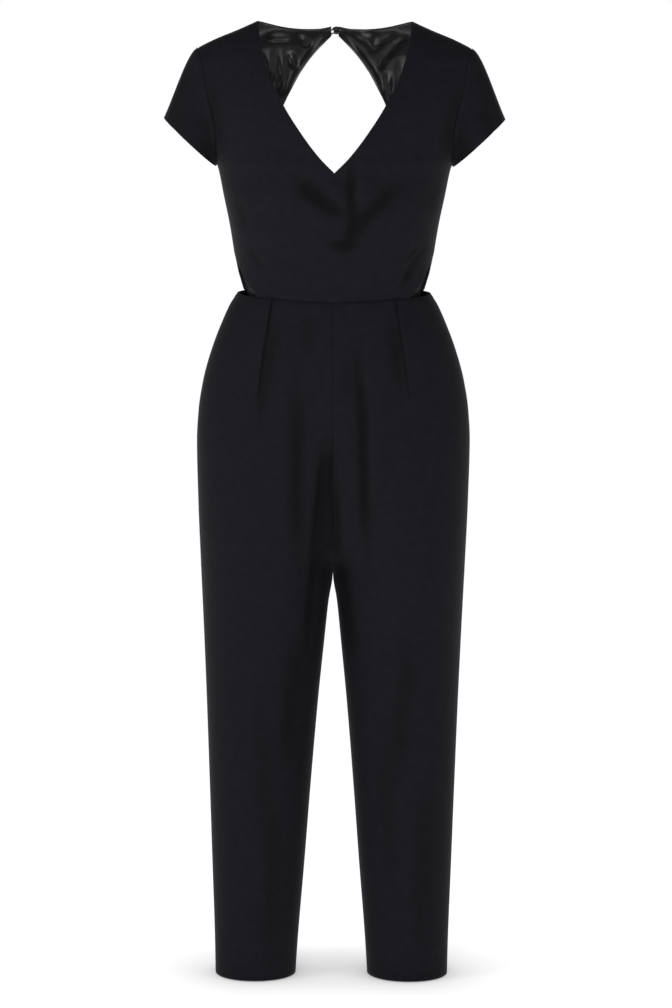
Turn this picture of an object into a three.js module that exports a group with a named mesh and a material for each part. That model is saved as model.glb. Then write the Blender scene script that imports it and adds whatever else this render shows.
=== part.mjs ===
// A black crepe jumpsuit, filled out as if worn: V neck, cap sleeves, a keyhole back closed by one button
// at the nape, a cut-out at each side of the waist, and pleated, tapered, cropped trousers.
// Millimetres, +Z up, front towards -Y, the wearer's left towards +X. The origin is midway between the two
// points where the shoulders meet the neck, which is where a wearer holds it up.
// Each piece of cloth is a thin wall cut from a form: a stack of rounded sections worked out from short tables.
import * as THREE from "three";

// Cloth and seams
const WALL = 1.4;
const LINING_WALL = 1.0;
const LINING_GAP = 0.9;
const LINING_INSET = 0.05;
const SEAM = 0.3;

// Heights of the main lines
const NECK_POINT = { x: 110.5, z: -1.5 };
const SHOULDER_TIP_Z = -41;
const V_POINT_Z = -213.7;
const UNDERARM_Z = -206;
const CUTOUT_APEX_Z = -322;
const KEYHOLE_END_Z = -347;
const WAIST_Z = -391;
const CROTCH_Z = -801;
const HEM_Z = -1402;

// The waist seam dips at the front and rises a little at the back
const WAIST_HALF = 141.5;
const FRONT_DIP = 7;
const FRONT_DIP_POWER = 1.15;
const BACK_RISE = 4;
const DIP_FADE = 60;

// Form of the body, a row for each height: half width, how far it reaches to the front and the back, and how
// square its rounded section is, where 2 is an ellipse. Above the underarm the half width is that of a form
// without armholes, and the front and back are cut from it.
const BODY = [
  { z: 0, half: 107, front: 3, back: 42, square: 2.2 },
  { z: -14, half: 138, front: 27, back: 67, square: 2.1 },
  { z: -28, half: 172, front: 44, back: 77, square: 1.9 },
  { z: -42, half: 199, front: 57, back: 84, square: 1.75 },
  { z: -60, half: 224, front: 70, back: 91, square: 1.65 },
  { z: -100, half: 228, front: 92, back: 101, square: 1.7 },
  { z: -150, half: 202, front: 108, back: 108, square: 1.9 },
  { z: -185, half: 178, front: 114, back: 109, square: 2.15 },
  { z: -206, half: 169.2, front: 117, back: 108, square: 2.3 },
  { z: -213, half: 166.9, front: 117, back: 107, square: 2.3 },
  { z: -250, half: 159.4, front: 121, back: 103, square: 2.4 },
  { z: -290, half: 151.1, front: 117, back: 97, square: 2.4 },
  { z: -329, half: 143.4, front: 107, back: 91, square: 2.4 },
  { z: -358, half: 137.6, front: 98, back: 87, square: 2.4 },
  { z: -375, half: 137, front: 94, back: 85, square: 2.4 },
  { z: -391, half: 141.5, front: 89, back: 85, square: 2.4 },
  { z: -409, half: 151, front: 93, back: 90, square: 2.4 },
  { z: -431, half: 161, front: 98, back: 97, square: 2.4 },
  { z: -475, half: 177.7, front: 106, back: 109, square: 2.4 },
  { z: -518, half: 189.4, front: 111, back: 118, square: 2.35 },
  { z: -562, half: 196.2, front: 114, back: 123, square: 2.35 },
  { z: -606, half: 198.6, front: 115, back: 124, square: 2.35 },
  { z: -694, half: 196.7, front: 112, back: 118, square: 2.3 },
  { z: -783, half: 193.2, front: 104, back: 109, square: 2.2 },
  { z: -842, half: 190.6, front: 96, back: 100, square: 2.15 },
  { z: -902, half: 188.1, front: 88, back: 92, square: 2.1 },
  { z: -991, half: 184.7, front: 80, back: 83, square: 2.1 },
  { z: -1112, half: 180.7, front: 72, back: 74, square: 2.1 },
  { z: -1233, half: 176.9, front: 65, back: 66.5, square: 2.1 },
  { z: -1355, half: 173.1, front: 58.5, back: 59.5, square: 2.1 },
  { z: -1402, half: 172.3, front: 56, back: 57, square: 2.1 },
];

// How far from the middle plane each trouser reaches furthest forward and back, and its inner edge
const LEG = [
  { z: -391, middle: 0, inner: 0 },
  { z: -518, middle: 0, inner: 0 },
  { z: -606, middle: 24, inner: 0 },
  { z: -694, middle: 60, inner: 0 },
  { z: -783, middle: 90, inner: 0 },
  { z: -801, middle: 95, inner: 0 },
  { z: -842, middle: 98, inner: 5.9 },
  { z: -902, middle: 100.1, inner: 12.1 },
  { z: -991, middle: 102.8, inner: 20.9 },
  { z: -1112, middle: 105.9, inner: 31 },
  { z: -1233, middle: 108.6, inner: 40.2 },
  { z: -1355, middle: 111.6, inner: 50 },
  { z: -1402, middle: 112.7, inner: 53 },
];

// Above the crotch the two legs run together: each would reach past the middle plane, by this much for its
// height above the crotch, and is cut off there, which gives the curve of the crotch seam
const MERGE = {
  front: { rate: 0.56, power: 1.28 },
  back: { rate: 0.4, power: 1.25 },
};

// Edges of the bodice, as half widths at each height
const NECK_V = [
  { z: -1.5, x: 110.5 },
  { z: -29, x: 106.7 },
  { z: -75, x: 94 },
  { z: -119, x: 72.5 },
  { z: -163, x: 44 },
  { z: -193, x: 20.5 },
  { z: -213.7, x: 0 },
];
const ARMHOLE_FRONT = [
  { z: -41, x: 197.6 },
  { z: -63, x: 189.3 },
  { z: -104, x: 183 },
  { z: -137, x: 175.2 },
  { z: -176, x: 169.4 },
  { z: -198, x: 168.6 },
  { z: -206, x: 169.1 },
];
const ARMHOLE_BACK = [
  { z: -41, x: 197.6 },
  { z: -63, x: 194 },
  { z: -104, x: 190 },
  { z: -137, x: 184 },
  { z: -176, x: 174.5 },
  { z: -198, x: 170 },
  { z: -206, x: 169.1 },
];
const KEYHOLE = [
  { z: -22, x: 5.5 },
  { z: -31.8, x: 15.7 },
  { z: -44.8, x: 28.3 },
  { z: -58, x: 38.7 },
  { z: -75.3, x: 50.1 },
  { z: -101.6, x: 64.4 },
  { z: -119.2, x: 73.2 },
  { z: -150, x: 85.5 },
  { z: -185, x: 93.5 },
  { z: -215, x: 96 },
  { z: -250, x: 91.5 },
  { z: -285, x: 79 },
  { z: -312, x: 62 },
  { z: -332, x: 41 },
  { z: -344, x: 19 },
  { z: KEYHOLE_END_Z, x: 0 },
];
const NECK_BACK = [
  { x: 5.5, z: -9.5 },
  { x: 24, z: -12.8 },
  { x: 42, z: -13.2 },
  { x: 60, z: -12.2 },
  { x: 78, z: -9.6 },
  { x: 95, z: -5.6 },
  { x: 110.5, z: -1.5 },
];

// Edges of the side cut-out, as how far each lies in front of the side and behind it at each height
const CUTOUT = [
  { z: -322, front: 0, back: 0 },
  { z: -331, front: 11, back: 3 },
  { z: -343, front: 25, back: 8 },
  { z: -358, front: 42, back: 17 },
  { z: -375, front: 56, back: 29 },
  { z: -391, front: 64.7, back: 39.7 },
];

// Soft folds, each a trough or ridge along a line in the front view: negative height is a trough
const BODICE_FRONT_FOLDS = [
  { x1: -46, z1: -236, x2: 6, z2: -300, width: 13, height: -2.2 },
  { x1: 84, z1: -243, x2: 16, z2: -306, width: 14, height: -2.4 },
  { x1: 24, z1: -212, x2: 27, z2: -274, width: 9, height: -1.6 },
  { x1: -120, z1: -258, x2: -96, z2: -330, width: 16, height: -2.0 },
  { x1: 122, z1: -252, x2: 104, z2: -338, width: 15, height: -2.4 },
];
const TROUSER_LEFT_FOLDS = [
  { x1: 34, z1: -480, x2: 45, z2: -640, width: 16, height: -3.0 },
  { x1: 45, z1: -640, x2: 50, z2: -800, width: 18, height: -2.2 },
  { x1: 14, z1: -560, x2: 3, z2: -730, width: 12, height: -2.4 },
  { x1: 88, z1: -900, x2: 70, z2: -1130, width: 22, height: -2.2 },
  { x1: 130, z1: -1150, x2: 120, z2: -1330, width: 20, height: -1.6 },
];
const TROUSER_RIGHT_FOLDS = [
  { x1: 48, z1: -530, x2: 52, z2: -765, width: 18, height: -2.0 },
  { x1: 12, z1: -565, x2: 3, z2: -745, width: 13, height: -3.0 },
  { x1: 20, z1: -700, x2: 26, z2: -860, width: 14, height: -2.0 },
  { x1: 110, z1: -930, x2: 92, z2: -1160, width: 22, height: -2.0 },
];
const TROUSER_BACK_FOLDS = [
  { x1: 120, z1: -700, x2: 40, z2: -800, width: 18, height: -3.0 },
  { x1: 140, z1: -770, x2: 60, z2: -860, width: 18, height: -2.4 },
  { x1: 60, z1: -1030, x2: 150, z2: -1070, width: 16, height: -2.2 },
  { x1: 105, z1: -1120, x2: 112, z2: -1330, width: 20, height: -1.8 },
];
const BODICE_BACK_FOLDS = [
  { x1: 100, z1: -110, x2: 168, z2: -160, width: 14, height: -1.8 },
  { x1: 128, z1: -220, x2: 96, z2: -330, width: 15, height: -2.2 },
];
const LINING_FOLDS = [
  { x1: 100, z1: -14, x2: 62, z2: -58, width: 7, height: 2.6 },
  { x1: 70, z1: -16, x2: 88, z2: -96, width: 6, height: 3.0 },
  { x1: 34, z1: -22, x2: 84, z2: -122, width: 6, height: 3.2 },
  { x1: 112, z1: -40, x2: 96, z2: -140, width: 8, height: 3.0 },
  { x1: 140, z1: -60, x2: 118, z2: -180, width: 9, height: 2.8 },
  { x1: 120, z1: -230, x2: 108, z2: -330, width: 9, height: 2.6 },
  { x1: 146, z1: -250, x2: 112, z2: -372, width: 8, height: 3.0 },
  { x1: 96, z1: -344, x2: 126, z2: -382, width: 7, height: 2.6 },
];

// The pleat of each trouser front: where its folded edge runs, and how full it is at each height
const PLEAT_LINE = [
  { z: -391, x: 89, fullness: 0.55 },
  { z: -425, x: 94, fullness: 1 },
  { z: -470, x: 101, fullness: 1 },
  { z: -500, x: 105.5, fullness: 0.75 },
  { z: -530, x: 109, fullness: 0.45 },
  { z: -560, x: 112, fullness: 0.15 },
  { z: -580, x: 114, fullness: 0 },
];
// Its outline across the fold: along is the way to the middle of the body, flat is where the point lies once
// the pleat has opened out, and height stands off the cloth. The folded edge overhangs a groove.
const PLEAT = [
  { along: -45, flat: -45, height: 0 },
  { along: -26, flat: -28, height: 1.0 },
  { along: -12, flat: -17, height: 2.8 },
  { along: -3.5, flat: -9, height: 4.2 },
  { along: 0, flat: -4, height: 4.4 },
  { along: 1.0, flat: 0, height: 3.6 },
  { along: 0.6, flat: 3, height: 2.7 },
  { along: -1.6, flat: 6, height: 1.7 },
  { along: -2.3, flat: 9, height: 0.9 },
  { along: -1.2, flat: 12, height: 0.2 },
  { along: 2.5, flat: 16, height: 0 },
  { along: 13, flat: 22, height: 0 },
];
const PLEAT_OPENS_AT = 0.5;

// Sleeves: the hem lies in a plane from its tip down to the underarm
const SLEEVE_TIP = { x: 244.6, z: -140.5 };
const SLEEVE_UNDERARM = { x: 171.6, z: -212.4 };
const SLEEVE_HALF_DEPTH = 57;
const SLEEVE_FALL = [0.42, 0, -0.9];
const SLEEVE_LEAVING = 0.5;
const SLEEVE_ROWS = 5;
const SLEEVE_SEAM = 0.45;

// Button and loop at the nape
const BUTTON = { x: 4.5, z: -17, radius: 4.8, depth: 5, off: 0.5 };
const LOOP_CORD = 1.8;
const LOOP_CLEARANCE = 0.4;
const LOOP_ROOT = 2.8;
const LOOP_TURN = 125;

// How finely each piece is divided
const HALF_COLUMNS = 11;
const ARMHOLE_STEPS = 12;
const SHOULDER_ROW = 8;
const BACK_COLUMNS = 9;
const SHOULDER_COLUMNS = 4;
const LEG_COLUMNS = 15;
const BACK_LEG_COLUMNS = 12;
const SECTION_STEPS = 40;
const SAMPLES = 160;

const crepe = new THREE.MeshStandardMaterial({ color: 0x1d1c20, roughness: 0.85, metalness: 0 });
const satin = new THREE.MeshStandardMaterial({ color: 0x242426, roughness: 0.35, metalness: 0 });
const FRONT = -1;
const BACK = 1;

const mix = (a, b, t) => a + (b - a) * t;
const clamp01 = (t) => Math.min(1, Math.max(0, t));
const smooth = (t) => clamp01(t) ** 2 * (3 - 2 * clamp01(t));

function steps(from, to, count) {
  return Array.from({ length: count + 1 }, (_, i) => mix(from, to, i / count));
}

// A smooth curve through one column of a table, with no overshoot between its rows
function through(rows, key, by = "z") {
  const at = rows.map((row) => row[by]);
  const value = rows.map((row) => row[key]);
  const last = rows.length - 1;
  const rise = [];
  for (let i = 0; i < last; i += 1) rise.push((value[i + 1] - value[i]) / (at[i + 1] - at[i]));
  const slope = rows.map((row, i) => {
    if (i === 0) return rise[0];
    if (i === last) return rise[last - 1];
    if (rise[i - 1] * rise[i] <= 0) return 0;
    return (2 * rise[i - 1] * rise[i]) / (rise[i - 1] + rise[i]);
  });
  const descending = at[0] > at[last];
  return (wanted) => {
    let i = 0;
    while (i < last - 1 && (descending ? wanted < at[i + 1] : wanted > at[i + 1])) i += 1;
    const span = at[i + 1] - at[i];
    const t = clamp01((wanted - at[i]) / span);
    const a = value[i] * (1 + 2 * t) * (1 - t) ** 2 + value[i + 1] * t * t * (3 - 2 * t);
    return a + span * (slope[i] * t * (1 - t) ** 2 - slope[i + 1] * t * t * (1 - t));
  };
}

const halfAt = through(BODY, "half");
const frontAt = through(BODY, "front");
const backAt = through(BODY, "back");
const middleAt = through(LEG, "middle");
const innerAt = through(LEG, "inner");
const squarenessAt = through(BODY, "square");
const neckV = through(NECK_V, "x");
const armholeFront = through(ARMHOLE_FRONT, "x");
const armholeBack = through(ARMHOLE_BACK, "x");
const keyhole = through(KEYHOLE, "x");
const neckBack = through(NECK_BACK, "z", "x");
const cutoutFront = through(CUTOUT, "front");
const cutoutBack = through(CUTOUT, "back");
const cutoutHeights = CUTOUT.slice(1).map((row) => row.z);
const depthAt = (side, z) => (side === FRONT ? frontAt(z) : backAt(z));

// Height of the fold lines at a place in the front view
function foldHeight(folds, x, z) {
  let height = 0;
  for (const fold of folds) {
    const dx = fold.x2 - fold.x1;
    const dz = fold.z2 - fold.z1;
    const t = clamp01(((x - fold.x1) * dx + (z - fold.z1) * dz) / (dx * dx + dz * dz));
    const away = Math.hypot(x - fold.x1 - t * dx, z - fold.z1 - t * dz);
    height += fold.height * Math.exp(-((away / fold.width) ** 2));
  }
  return height;
}

// How far the waist seam lies from its height at the side
function waistDip(side, x) {
  const share = clamp01(Math.abs(x) / WAIST_HALF);
  if (side === FRONT) return -FRONT_DIP * (1 - share ** FRONT_DIP_POWER);
  return BACK_RISE * (1 - share ** 2);
}

// Outward normal of a surface given by two parameters
function normalOf(surface, a, b, stepA, stepB) {
  const alongA = surface(a + stepA, b).sub(surface(a, b)).divideScalar(stepA);
  const alongB = surface(a, b + stepB).sub(surface(a, b - stepB));
  return alongA.cross(alongB).normalize();
}

// Form of the bodice: angle 0 is the side and a quarter turn is the middle, at a height
function bodicePoint(side, angle, z) {
  const power = 2 / squarenessAt(z);
  const x = halfAt(z) * Math.max(0, Math.cos(angle)) ** power;
  const y = side * (depthAt(side, z) * Math.max(0, Math.sin(angle)) ** power + SEAM / 2);
  return new THREE.Vector3(x, y, z);
}

function bodiceAngle(x, z) {
  return Math.acos(clamp01(x / halfAt(z)) ** (squarenessAt(z) / 2));
}

function bodiceNormal(side, angle, z) {
  const step = angle > Math.PI / 4 ? -0.002 : 0.002;
  const normal = normalOf((a, b) => bodicePoint(side, a, b), angle, z, step, 0.5);
  const outward = new THREE.Vector3(1, side, 0);
  return normal.dot(outward) < 0 ? normal.negate() : normal;
}

// A point of cloth: where its outside and its inside are
function clothPoint(place, normal, height, wall) {
  const out = place.clone().addScaledVector(normal, height);
  return { out, in: out.clone().addScaledVector(normal, -wall) };
}

// Half width of the bodice at its outer edge: shoulder, armhole, side and cut-out
function outerEdge(side, z) {
  if (z >= SHOULDER_TIP_Z) return halfAt(z);
  if (z > UNDERARM_Z) return side === FRONT ? armholeFront(z) : armholeBack(z);
  if (z >= CUTOUT_APEX_Z) return halfAt(z);
  const square = squarenessAt(z);
  const y = side === FRONT ? cutoutFront(z) : cutoutBack(z);
  return halfAt(z) * (1 - (y / depthAt(side, z)) ** square) ** (1 / square);
}

// A row of cloth on the bodice form between two edge places, straight in the front view, or along the outer
// edge, with its points equally far apart
function bodiceRow(side, from, to, columns, makePoint, onEdge = false) {
  const placeAt = (t) => {
    const z = mix(from.z, to.z, t);
    const x = onEdge ? outerEdge(side, z) : mix(from.x, to.x, t);
    return { angle: bodiceAngle(Math.min(x, halfAt(z)), z), z };
  };
  const places = steps(0, 1, SAMPLES).map((t) => {
    const { angle, z } = placeAt(t);
    return bodicePoint(side, angle, z);
  });
  const lengths = [0];
  for (let i = 1; i <= SAMPLES; i += 1) lengths.push(lengths[i - 1] + places[i].distanceTo(places[i - 1]));
  let sample = 0;
  return steps(0, lengths[SAMPLES], columns).map((length, column) => {
    while (sample < SAMPLES - 1 && lengths[sample + 1] < length) sample += 1;
    const within = (length - lengths[sample]) / (lengths[sample + 1] - lengths[sample]);
    const t = column === columns ? 1 : (sample + within) / SAMPLES;
    const { angle, z } = placeAt(t);
    return makePoint(side, angle, z);
  });
}

// A panel holds points and the triangles between them
function newPanel() {
  return { points: [], faces: [] };
}

function addRow(panel, row) {
  return row.map((point) => panel.points.push(point) - 1);
}

// Fills the strip between two rows, which may differ in how many points they have and where these lie
function stitch(panel, a, b) {
  const shares = (row) => {
    const lengths = [0];
    for (let k = 1; k < row.length; k += 1) {
      const step = panel.points[row[k]].out.distanceTo(panel.points[row[k - 1]].out);
      lengths.push(lengths[k - 1] + step);
    }
    return lengths.map((length) => length / lengths[row.length - 1]);
  };
  const [shareA, shareB] = a.length === b.length ? [a, b].map((row) => row.map((_, k) => k)) : [a, b].map(shares);
  let i = 0;
  let j = 0;
  while (i < a.length - 1 || j < b.length - 1) {
    if (j === b.length - 1 || (i < a.length - 1 && shareA[i + 1] <= shareB[j + 1])) {
      panel.faces.push([a[i], a[i + 1], b[j]]);
      i += 1;
    } else {
      panel.faces.push([a[i], b[j + 1], b[j]]);
      j += 1;
    }
  }
}

function addRows(panel, rows) {
  const indexes = rows.map((row) => addRow(panel, row));
  for (let k = 1; k < indexes.length; k += 1) stitch(panel, indexes[k - 1], indexes[k]);
  return indexes;
}

// Turns a panel into a closed wall: its outside, its inside and a strip along every open edge
function thicken(panel) {
  const count = panel.points.length;
  const places = [];
  for (const point of panel.points) places.push(point.out.x, point.out.y, point.out.z);
  for (const point of panel.points) places.push(point.in.x, point.in.y, point.in.z);
  const triangles = [];
  const edges = new Map();
  let facing = 0;
  for (const face of panel.faces) {
    const [a, b, c] = face.map((index) => panel.points[index]);
    const across = b.out.clone().sub(a.out).cross(c.out.clone().sub(a.out));
    facing += across.dot(a.out.clone().sub(a.in));
  }
  for (const [p, a, b] of panel.faces) {
    const [q, r] = facing > 0 ? [a, b] : [b, a];
    triangles.push(p, q, r, r + count, q + count, p + count);
    for (const [s, e] of [[p, q], [q, r], [r, p]]) edges.set(`${s} ${e}`, [s, e]);
  }
  for (const [s, e] of edges.values()) {
    if (!edges.has(`${e} ${s}`)) triangles.push(e, s, s + count, e, s + count, e + count);
  }
  const geometry = new THREE.BufferGeometry();
  geometry.setAttribute("position", new THREE.Float32BufferAttribute(places, 3));
  geometry.setIndex(triangles);
  geometry.computeVertexNormals();
  return geometry;
}

function mirrored(row) {
  const flip = (v) => new THREE.Vector3(-v.x, v.y, v.z);
  return row.map((point) => ({ out: flip(point.out), in: flip(point.in) }));
}

function mirroredPanel(panel) {
  return { points: mirrored(panel.points), faces: panel.faces };
}

const armholeHeights = steps(0, 1, ARMHOLE_STEPS).map((t) =>
  mix(UNDERARM_Z, SHOULDER_TIP_Z, (1 - Math.cos(Math.PI * t)) / 2),
);

function frontPoint(side, angle, z, sign) {
  const place = bodicePoint(side, angle, z);
  const fade = smooth(1 - (z - WAIST_Z) / DIP_FADE);
  const lowered = bodicePoint(side, angle, z + waistDip(side, place.x) * fade);
  const normal = bodiceNormal(side, angle, lowered.z);
  const height = foldHeight(BODICE_FRONT_FOLDS, sign * place.x, lowered.z);
  const edge = smooth((place.x < 1 ? 1 : 0) + angle / 0.35) * smooth((z - WAIST_Z) / 25);
  return clothPoint(lowered, normal, height * edge, WALL);
}

// The right half of each row is followed by its left half, so one panel spans the front
function bodiceFront() {
  const panel = newPanel();
  const half = (from, to, sign, onEdge = false) => {
    const make = (side, angle, z) => frontPoint(side, angle, z, sign);
    const row = bodiceRow(FRONT, from, to, HALF_COLUMNS, make, onEdge);
    return sign < 0 ? mirrored(row) : row;
  };
  const whole = (outer, inner) => [
    ...half(outer, inner, -1),
    ...half(outer, inner, 1).reverse().slice(1),
  ];
  const lowerHeights = [...cutoutHeights].reverse().concat(steps(CUTOUT_APEX_Z, UNDERARM_Z, 5));
  const lowerRows = lowerHeights.map((z) => {
    const rise = smooth((z - WAIST_Z) / (UNDERARM_Z - WAIST_Z));
    return whole({ x: outerEdge(FRONT, z), z }, { x: 0, z: z + (V_POINT_Z - UNDERARM_Z) * rise });
  });
  const indexes = addRows(panel, lowerRows);
  const top = indexes[indexes.length - 1];
  for (const sign of [-1, 1]) {
    const rows = armholeHeights.slice(1).map((z, k) => {
      const t = (k + 1) / ARMHOLE_STEPS;
      const inner = mix(V_POINT_Z, NECK_POINT.z, t);
      const shoulder = k === ARMHOLE_STEPS - 1;
      const row = half({ x: armholeFront(z), z }, { x: neckV(inner), z: inner }, sign, shoulder);
      return sign < 0 ? row : row.reverse();
    });
    const bottom = sign < 0 ? top.slice(0, HALF_COLUMNS + 1) : top.slice(HALF_COLUMNS);
    const upper = addRows(panel, rows);
    stitch(panel, bottom, upper[0]);
  }
  return panel;
}

// Rows of the back panel below the shoulder, down to the waist: where each starts, on the keyhole or the middle
// seam, and where it ends, on the armhole, the side or the cut-out
function backRows() {
  const rows = [];
  const armhole = armholeHeights.slice(0, SHOULDER_ROW + 1).reverse();
  armhole.forEach((outerZ, k) => {
    const z = mix(armhole[0], -250, k / SHOULDER_ROW);
    rows.push({ inner: { x: keyhole(z), z }, outer: { x: armholeBack(outerZ), z: outerZ } });
  });
  const sideInner = [-275, -300, -320, -335, -344, KEYHOLE_END_Z];
  sideInner.forEach((z, k) => {
    const outerZ = mix(UNDERARM_Z, CUTOUT_APEX_Z, (k + 1) / sideInner.length);
    rows.push({ inner: { x: keyhole(z), z }, outer: { x: halfAt(outerZ), z: outerZ } });
  });
  cutoutHeights.forEach((z, k) => {
    const innerZ = mix(KEYHOLE_END_Z, WAIST_Z, (k + 1) / cutoutHeights.length);
    rows.push({ inner: { x: 0, z: innerZ }, outer: { x: outerEdge(BACK, z), z } });
  });
  return rows;
}

// Rows of the back panel over the shoulder, from the shoulder and neck edge down: a patch blended between its
// four edges, which are given as angle and height on the form
function shoulderRows() {
  const onForm = (x, z) => ({ angle: bodiceAngle(Math.min(x, halfAt(z)), z), z });
  const low = armholeHeights[SHOULDER_ROW];
  const rows = ARMHOLE_STEPS - SHOULDER_ROW;
  const neckColumns = BACK_COLUMNS - SHOULDER_COLUMNS;
  const neck = steps(NECK_BACK[0].x, NECK_POINT.x, neckColumns).map((x) => onForm(x, neckBack(x)));
  const shoulder = steps(NECK_POINT.z, SHOULDER_TIP_Z, SHOULDER_COLUMNS).map((z) => ({ angle: 0, z }));
  const top = [...neck.slice(0, -1), ...shoulder];
  const bottom = steps(keyhole(low), armholeBack(low), BACK_COLUMNS).map((x) => onForm(x, low));
  const outer = armholeHeights.slice(SHOULDER_ROW).map((z) => onForm(armholeBack(z), z));
  const inner = steps(low, KEYHOLE[0].z, rows - 1).map((z) => onForm(keyhole(z), z));
  inner.push(top[0]);
  const patch = (key, u, v, column, row) => {
    const rails = mix(bottom[column][key], top[column][key], v) + mix(inner[row][key], outer[row][key], u);
    const ends = mix(bottom[0][key], bottom[BACK_COLUMNS][key], u);
    return rails - mix(ends, mix(top[0][key], top[BACK_COLUMNS][key], u), v);
  };
  const made = steps(0, 1, rows).map((v, row) =>
    steps(0, 1, BACK_COLUMNS).map((u, column) =>
      backPoint(BACK, Math.max(0, patch("angle", u, v, column, row)), patch("z", u, v, column, row)),
    ),
  );
  return made.slice(1).reverse();
}

function backPlace(side, angle, z) {
  const place = bodicePoint(side, angle, z);
  const fade = smooth(1 - (z - WAIST_Z) / DIP_FADE);
  const moved = bodicePoint(side, angle, z + waistDip(side, place.x) * fade);
  moved.x += SEAM / 2;
  return moved;
}

function backPoint(side, angle, z) {
  const place = backPlace(side, angle, z);
  const normal = bodiceNormal(side, angle, place.z);
  const height = foldHeight(BODICE_BACK_FOLDS, place.x, place.z) * smooth(angle / 0.35);
  return { ...clothPoint(place, normal, height, WALL), normal };
}

function backPanelRows() {
  const lower = backRows().map((row) => bodiceRow(BACK, row.inner, row.outer, BACK_COLUMNS, backPoint));
  return [...shoulderRows(), ...lower];
}

function bodiceBack() {
  const panel = newPanel();
  addRows(panel, backPanelRows());
  return panel;
}

// The lining is made from the back panel's points, moved in: a little short of the panel's edges, with folds
// that stand into the hollow
function backLining() {
  const panel = newPanel();
  const between = (a, b, t) => ({
    in: a.in.clone().lerp(b.in, t),
    normal: a.normal.clone().lerp(b.normal, t).normalize(),
  });
  const drawnIn = (list) => {
    const last = list.length - 1;
    const ends = [between(list[0], list[1], LINING_INSET), between(list[last], list[last - 1], LINING_INSET)];
    return [ends[0], ...list.slice(1, -1), ends[1]];
  };
  const rows = backPanelRows().map(drawnIn);
  const last = rows.length - 1;
  rows[0] = rows[0].map((point, i) => between(point, rows[1][i], LINING_INSET));
  rows[last] = rows[last].map((point, i) => between(point, rows[last - 1][i], LINING_INSET));
  const lined = rows.map((row) =>
    row.map((point) => {
      const out = point.in.clone().addScaledVector(point.normal, -LINING_GAP);
      const crumple = foldHeight(LINING_FOLDS, out.x, out.z);
      return { out, in: out.clone().addScaledVector(point.normal, -LINING_WALL - crumple) };
    }),
  );
  addRows(panel, lined);
  return panel;
}

// Edge of the armhole from the underarm up the front, over the shoulder and down the back
function armholeLoop() {
  const loop = [];
  const add = (side, edge, z) => {
    const angle = bodiceAngle(edge(z), z);
    loop.push({ place: bodicePoint(side, angle, z), normal: bodiceNormal(side, angle, z) });
  };
  for (const z of armholeHeights) add(FRONT, armholeFront, z);
  for (const z of [...armholeHeights].reverse().slice(1, -1)) add(BACK, armholeBack, z);
  return loop;
}

// The sleeve runs from the armhole to a flat oval hem. It leaves the shoulder in line with the bodice and the
// underarm folded down beside it.
function sleeveRings(loop) {
  const count = loop.length;
  const tip = new THREE.Vector3(SLEEVE_TIP.x, 0, SLEEVE_TIP.z);
  const underarm = new THREE.Vector3(SLEEVE_UNDERARM.x, 0, SLEEVE_UNDERARM.z);
  const centre = tip.clone().lerp(underarm, 0.5);
  const across = tip.clone().sub(centre);
  const fall = new THREE.Vector3(...SLEEVE_FALL).normalize();
  const rings = Array.from({ length: SLEEVE_ROWS + 1 }, () => []);
  loop.forEach(({ place, normal }, i) => {
    const turn = (i / count) * 2 * Math.PI;
    const high = (1 - Math.cos(turn)) / 2;
    const edge = loop[(i + 1) % count].place.clone().sub(loop[(i + count - 1) % count].place);
    const level = edge.cross(normal).normalize();
    const leave = level.multiplyScalar(smooth(high * 1.4)).addScaledVector(fall, 1.15 - high).normalize();
    const start = place
      .clone()
      .addScaledVector(leave, SLEEVE_SEAM * smooth(high * 2))
      .addScaledVector(normal, SLEEVE_SEAM * (1 - high) * 1.6);
    const end = centre.clone().addScaledVector(across, -Math.cos(turn));
    end.y = -SLEEVE_HALF_DEPTH * Math.sin(turn);
    const reach = start.distanceTo(end);
    for (let r = 0; r <= SLEEVE_ROWS; r += 1) {
      const t = r / SLEEVE_ROWS;
      const curve = start
        .clone()
        .multiplyScalar((1 + 2 * t) * (1 - t) ** 2)
        .addScaledVector(end, t * t * (3 - 2 * t))
        .addScaledVector(leave, SLEEVE_LEAVING * reach * t * (1 - t) ** 2)
        .addScaledVector(fall, -reach * t * t * (1 - t));
      rings[r].push(curve);
    }
  });
  return { rings, centre };
}

function sleeve() {
  const panel = newPanel();
  const loop = armholeLoop();
  const count = loop.length;
  const { rings, centre } = sleeveRings(loop);
  const rows = rings.map((ring, r) =>
    ring.map((place, i) => {
      const around = ring[(i + 1) % count].clone().sub(ring[(i + count - 1) % count]);
      const down = rings[Math.min(r + 1, SLEEVE_ROWS)][i].clone().sub(rings[Math.max(r - 1, 0)][i]);
      const own = around.cross(down).normalize();
      if (own.dot(place.clone().sub(centre)) < 0) own.negate();
      const high = (1 - Math.cos((i / count) * 2 * Math.PI)) / 2;
      const shared = smooth((high - 0.45) / 0.4) * (1 - smooth(r / 2));
      return clothPoint(place, own.lerp(loop[i].normal, shared).normalize(), 0, WALL);
    }),
  );
  const indexes = rows.map((row) => addRow(panel, row));
  const closed = (list) => [...list, list[0]];
  for (let r = 1; r < indexes.length; r += 1) stitch(panel, closed(indexes[r - 1]), closed(indexes[r]));
  return panel;
}

// How far past the middle plane a leg would reach
function innerReach(side, z) {
  const { rate, power } = side === FRONT ? MERGE.front : MERGE.back;
  return z > CROTCH_Z ? -rate * (z - CROTCH_Z) ** power : innerAt(z);
}

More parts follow.
